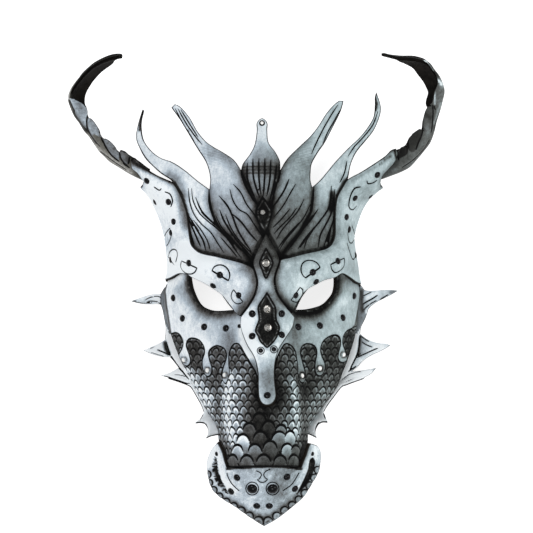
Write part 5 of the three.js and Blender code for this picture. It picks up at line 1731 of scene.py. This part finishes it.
# Tooled lines of a frill: half width in millimetres and line
frill_lines = {
    "left": [
        [0.3, 145, 300, 150, 297.5, 155, 296.3, 159, 296.5, 161.5, 298.3],
        [0.28, 147, 301.3, 152, 301, 157, 301.7, 161, 303.8],
        [0.2, 134, 302.2, 142, 303, 152, 303.3],
        [0.45, 157, 349.5, 162, 351.5, 167, 353.8, 169.8, 355], [0.2, 150, 348.5, 156, 346.5],
        [0.2, 150, 352, 157, 354.2, 164, 356],
        [0.45, 166, 340.5, 167.8, 347, 170.4, 354.5, 174.8, 361.4, 178.8, 366.8, 182.4, 371.2,
         186.8, 376.7, 189, 379], [0.45, 179, 368, 182.6, 371.7, 186, 375.6],
        [0.25, 174, 374.8, 180, 375, 185, 376.3],
        [0.22, 164, 375.8, 170, 377.2, 180, 380.4, 186, 382.5, 190, 383.1],
        [0.4, 203, 414, 200.2, 418.4], [0.38, 205, 422, 207.3, 426, 207.6, 430, 206.8, 434],
    ],
    "right": [
        [0.3, 363, 296, 367, 294, 371, 292],
        [0.45, 362.5, 304.3, 367, 301.5, 372, 298.8, 377.5, 295.2],
        [0.35, 379.6, 299.6, 384, 297, 388, 294.6],
        [0.35, 363.5, 310, 367, 306.4, 371, 303.4, 376, 300.6],
        [0.35, 361.5, 341.5, 366, 344.5, 372, 347],
        [0.4, 356.4, 358, 361, 355.5, 367, 352.8, 373, 350, 378, 348],
        [0.3, 360.8, 336, 364.5, 338.8, 369, 341.6], [0.4, 348, 371.5, 352, 369, 356, 366],
        [0.25, 357, 356, 361, 353],
        [0.5, 359.8, 335, 359, 345, 357.8, 352, 355.5, 358, 352.5, 364, 349.8, 370],
        [0.26, 341, 380, 346, 376.5, 350, 374, 356, 372.2, 361, 371.5],
        [0.2, 346, 381.5, 352, 379], [0.38, 323.4, 412.6, 325.2, 418],
        [0.6, 319, 421.5, 317, 425, 315.8, 428.4, 315.6, 431.5, 316.4, 434.6],
    ],
}
frill_height, frill_rise = 7, 0.22  # over the rim, and for each millimetre outwards
frill_tuck = 1.5  # under the cheek
for side, sign, column in (("left", -1, 1), ("right", 1, 2)):
    def cheek(y):
        return along(face, y, column)

    def frill_height_at(x, y):
        out = np.maximum(0, (x - cheek(y)) * sign)
        return np.maximum(0, along(face, y, 4)) + frill_height + frill_rise * out

    start, *runs = [page(run) for run in frills[side]]
    outer = np.vstack([outline(runs, start), runs[-1][-1:]])
    y = np.arange(outer[-1, 1] + 0.5, outer[0, 1] - 0.5, cut)
    loop = np.vstack([outer, np.stack([cheek(y) - sign * frill_tuck, y], 1)])
    drawn = [spaced(page(line), cut) for _, *line in frill_lines[side]]
    widths = [tapered(line, row[0], 0.4, 0.6) for row, line in zip(frill_lines[side], drawn)]
    frill_sheet = Sheet(height_surface(frill_height_at), [loop], spacing=0.8, coarse=2.0,
                        thickness=0.8 * leather)
    flat = frill_sheet.flat
    at = pixels(flat)
    marks = Strokes(drawn, widths).away(flat)
    tone = np.full(len(at), 1.0)
    for patch_tone, *patch in frill_patches[side]:
        tone[within(at, pairs(patch))] = patch_tone
    tone += shades(at, frill_streaks[side])
    lift = -0.35 * bell(np.maximum(marks, 0) / 0.4) + 0.2 * ease(frill_sheet.edge / 3) - 0.1
    piece = frill_sheet.build(
        f"cheek_frill_{side}_leather", frill_paint, raw_edge, lift=lift,
        attributes={"tone": tone, "line": marks, "edge": frill_sheet.edge + 0.75,
                    "green": np.full(len(flat), 0.25 if side == "right" else 0.05)})
    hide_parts(f"cheek_frill_{side}")

# Studs, crystals and pearls. Each kind has a radius, how high the leather under it lies over the
# face or None on the cap, and its places on the page.

studs = {
    "brow_left_stud": (2.7, layer, [
        (-89, 83), (-82.5, 67), (-72.5, 67), (-68.5, 52), (-70.5, 43.5), (-70.5, 23), (-57, 20.5),
        (-33.5, 11.5), (-38.5, 3.5), (-19, -4)]),
    "brow_right_stud": (2.7, layer, [
        (86, 87.5), (80.5, 71.5), (69, 70), (62.5, 55.5), (64.5, 46), (69, 26.5), (56, 22),
        (37, 13.5), (39.5, 6.5), (24, -4)]),
    "cheek_left_stud": (2.7, 0, [(-69, -6), (-62, -21.5), (-45.5, -28), (-29, -29)]),
    "cheek_right_stud": (2.7, 0, [(68.5, -4.5), (60, -21), (42.5, -27), (26, -28)]),
    "nose_stud": (2.75, layer, [(-9, -18), (13.5, -18), (-9, -35), (13.5, -34)]),
    "nose_small_stud": (1.9, layer, [(-2.5, -46), (7.5, -45)]),
    "drip_stud": (2.75, layer, [(2.5, -80)]),
    "cap_stud": (2.75, None, [
        (-20.5, -142.5), (17.5, -142), (-25, -153), (23.5, -151), (-5.5, -164), (4, -164)]),
    "nostril_stud": (4.0, None, [(-9, -151), (6.5, -151)]),
    "cap_wing_stud": (1.7, None, [(-36, -124.5), (36.8, -124.5)]),
}
side_stud = {"side_stud": (1.6, 0, [(-18.8, -27.4)])}
rivet = {"crest_stud": (1.3, 0, [(-1.5, 127)])}
crystals = {
    "forehead_crystal": (2.8, 0, [(-1, 59)]),
    "nose_crystal": (2.8, layer, [(1.5, 20.5), (2.5, -14.5), (3, -28.5)]),
}
pearls = {"cheek_pearl": (pearl_size, 0, pearl_places)}


def seat_mesh(name, kinds):
    """A point for every stud, in the object's own frame, with its direction and radius."""
    places, leans, sizes = [], [], []
    for radius, level, middles in kinds.values():
        xy = np.array(middles, float)
        height = (level or 0) + 0.1
        if level is None:
            place, normal = cap_surface(xy)
        else:
            place, normal = face_surface(face_surface.under(xy, height, 3))
        places.append(drawn_back(place + normal * height))
        leans.append(normal)
        sizes.append(np.full(len(xy), radius / 1000))
    mesh = bpy.data.meshes.new(name)
    mesh.from_pydata(np.vstack(places).tolist(), [], [])
    for key, kind, field, values in (("lean", "FLOAT_VECTOR", "vector", np.vstack(leans).ravel()),
                                     ("size", "FLOAT", "value", np.concatenate(sizes))):
        mesh.attributes.new(key, kind, "POINT").data.foreach_set(field, values)
    return mesh


class Tree:
    """A tree of geometry nodes with named inputs."""

    def __init__(self, name):
        self.tree = bpy.data.node_groups.new(name, "GeometryNodeTree")
        for way in ("INPUT", "OUTPUT"):
            self.tree.interface.new_socket(
                "Geometry", in_out=way, socket_type="NodeSocketGeometry")
        self.inputs = []

    def named(self, label, kind, value):
        """An input of the tree, and its value on the piece."""
        socket = self.tree.interface.new_socket(label, in_out="INPUT", socket_type=kind)
        self.inputs.append((socket.identifier, value))

    def node(self, kind, settings=None, **links):
        """Adds a node: its settings first, then the values or links of its sockets."""
        made = self.tree.nodes.new(kind)
        for setting, value in (settings or {}).items():
            setattr(made, setting, value)
        for socket, value in links.items():
            target = made.inputs[socket.replace("_", " ")]
            if isinstance(value, bpy.types.NodeSocket):
                self.tree.links.new(value, target)
            else:
                target.default_value = value
        return made

    def finished(self, name, start, geometry):
        """The tree run once on a mesh, as a plain mesh."""
        end = self.tree.nodes.new("NodeGroupOutput")
        self.tree.links.new(geometry, end.inputs[0])
        holder = bpy.data.objects.new(name + "_points", start)
        bpy.context.scene.collection.objects.link(holder)
        modifier = holder.modifiers.new("nodes", "NODES")
        modifier.node_group = self.tree
        for identifier, value in self.inputs:
            modifier[identifier] = value
        graph = bpy.context.evaluated_depsgraph_get()
        mesh = bpy.data.meshes.new_from_object(holder.evaluated_get(graph))
        holder.modifiers.clear()
        bpy.data.objects.remove(holder)
        mesh.name = name
        piece = bpy.data.objects.new(name, mesh)
        bpy.context.scene.collection.objects.link(piece)
        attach(piece, "root")
        return piece


def set_in_place(name, kinds, finish, shape, rise, smooth=True):
    """One shape on every seat, turned to stand on the leather."""
    tree = Tree(name + "_tree")
    tree.named("Rise", "NodeSocketFloat", rise)
    start = tree.node("NodeGroupInput")
    form = shape(tree)
    flatten = tree.node("ShaderNodeCombineXYZ", None, X=1.0, Y=1.0, Z=start.outputs["Rise"])
    form = tree.node("GeometryNodeTransform", None, Geometry=form, Scale=flatten.outputs[0])
    lean = tree.node("GeometryNodeInputNamedAttribute", {"data_type": "FLOAT_VECTOR"}, Name="lean")
    size = tree.node("GeometryNodeInputNamedAttribute", {"data_type": "FLOAT"}, Name="size")
    turn = tree.node("FunctionNodeAlignRotationToVector", {"axis": "Z"}, Vector=lean.outputs[0])
    points = tree.node("GeometryNodeMeshToPoints", None, Mesh=start.outputs["Geometry"])
    made = tree.node("GeometryNodeInstanceOnPoints", None, Points=points.outputs[0],
                     Instance=form.outputs[0], Rotation=turn.outputs[0], Scale=size.outputs[0])
    made = tree.node("GeometryNodeRealizeInstances", None, Geometry=made.outputs[0])
    if smooth:
        made = tree.node("GeometryNodeSetShadeSmooth", None, Geometry=made.outputs[0])
    made = tree.node("GeometryNodeSetMaterial", None, Geometry=made.outputs[0], Material=finish)
    return tree.finished(name, seat_mesh(name, kinds), made.outputs[0])


def dome(tree):
    """A ball, of which the leather hides the lower half."""
    return tree.node("GeometryNodeMeshUVSphere", None, Segments=24, Rings=14, Radius=1.0).outputs[0]


def gem(tree):
    """A cut stone: a flat top, sloping facets and a round foot."""
    top = tree.node("GeometryNodeMeshCone", None, Vertices=9, Side_Segments=1, Fill_Segments=1,
                    Radius_Top=0.52, Radius_Bottom=0.98, Depth=0.62).outputs[0]
    foot = tree.node("GeometryNodeMeshCylinder", None, Vertices=18, Side_Segments=1,
                     Fill_Segments=1, Radius=1.0, Depth=0.7).outputs[0]
    down = tree.node("GeometryNodeTransform", None, Geometry=foot, Translation=(0, 0, -0.36))
    joined = tree.node("GeometryNodeJoinGeometry", None, Geometry=top)
    tree.tree.links.new(down.outputs[0], joined.inputs[0])
    return joined.outputs[0]


def node_names(kinds):
    """The nodes of the solids that studs of these kinds stand for."""
    return [f"{kind}_{i + 1}" if len(middles) > 1 else kind
            for kind, (_, _, middles) in kinds.items() for i in range(len(middles))]


piece = set_in_place("black_studs", {**studs, **side_stud}, black_gloss, dome, 0.62)
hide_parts(*node_names(studs))
piece = set_in_place("crystals", crystals, clear_crystal, gem, 0.75, smooth=False)
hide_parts(*node_names(crystals))
piece = set_in_place("cheek_pearls", pearls, pearl_white, dome, 0.8)
piece = set_in_place("crest_rivet", rivet, pearl_white, dome, 0.6)
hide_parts(*node_names(rivet))

# Floor, light and camera

floor_finish = Finish("pale_floor", Roughness=1.0, Specular_IOR_Level=0.0)
floor_finish.shader.inputs["Base Color"].default_value = (0.6, 0.6, 0.6, 1)
floor_finish.shader.inputs["Emission Color"].default_value = (1, 1, 1, 1)
floor_finish.shader.inputs["Emission Strength"].default_value = 0.82
floor_mesh = bpy.data.meshes.new("floor")
floor_half, floor_z = 3.0, -0.0004
floor_mesh.from_pydata([(x * floor_half, y * floor_half, floor_z)
                        for x, y in ((-1, -1), (1, -1), (1, 1), (-1, 1))], [], [(0, 1, 2, 3)])
floor_mesh.materials.append(floor_finish.material)
floor = bpy.data.objects.new("floor", floor_mesh)
bpy.context.scene.collection.objects.link(floor)

world = bpy.data.worlds.new("studio")
world.use_nodes = True
world.node_tree.nodes["Background"].inputs["Color"].default_value = (0.93, 0.96, 1.0, 1)
world.node_tree.nodes["Background"].inputs["Strength"].default_value = 0.38
bpy.context.scene.world = world


def soft_light(name, place, size, power, colour):
    """A round lamp that points at the middle of the mask."""
    data = bpy.data.lights.new(name, "AREA")
    data.shape, data.size, data.energy, data.color = "DISK", size, power, colour
    light = bpy.data.objects.new(name, data)
    light.location = place
    light.rotation_euler = (-Vector(place)).to_track_quat("-Z", "Y").to_euler()
    bpy.context.scene.collection.objects.link(light)


soft_light("key", (-0.45, 0.5, 1.95), 0.9, 15.5, (0.97, 0.985, 1.0))
soft_light("fill", (1.3, -0.3, 1.3), 0.9, 8, (1.0, 1.0, 0.98))
soft_light("front", (0.1, -1.2, 1.6), 0.7, 7, (1.0, 1.0, 1.0))

picture_width = 533
camera_data = bpy.data.cameras.new("camera")
camera_data.lens = camera_data.sensor_width * (eye[2] - plane) / (picture_width * pixel)
camera_data.clip_end = 20
camera = bpy.data.objects.new("camera", camera_data)
camera.location = (eye + to_middle) / 1000
bpy.context.scene.collection.objects.link(camera)
bpy.context.scene.camera = camera
bpy.context.scene.view_settings.view_transform = "Standard"
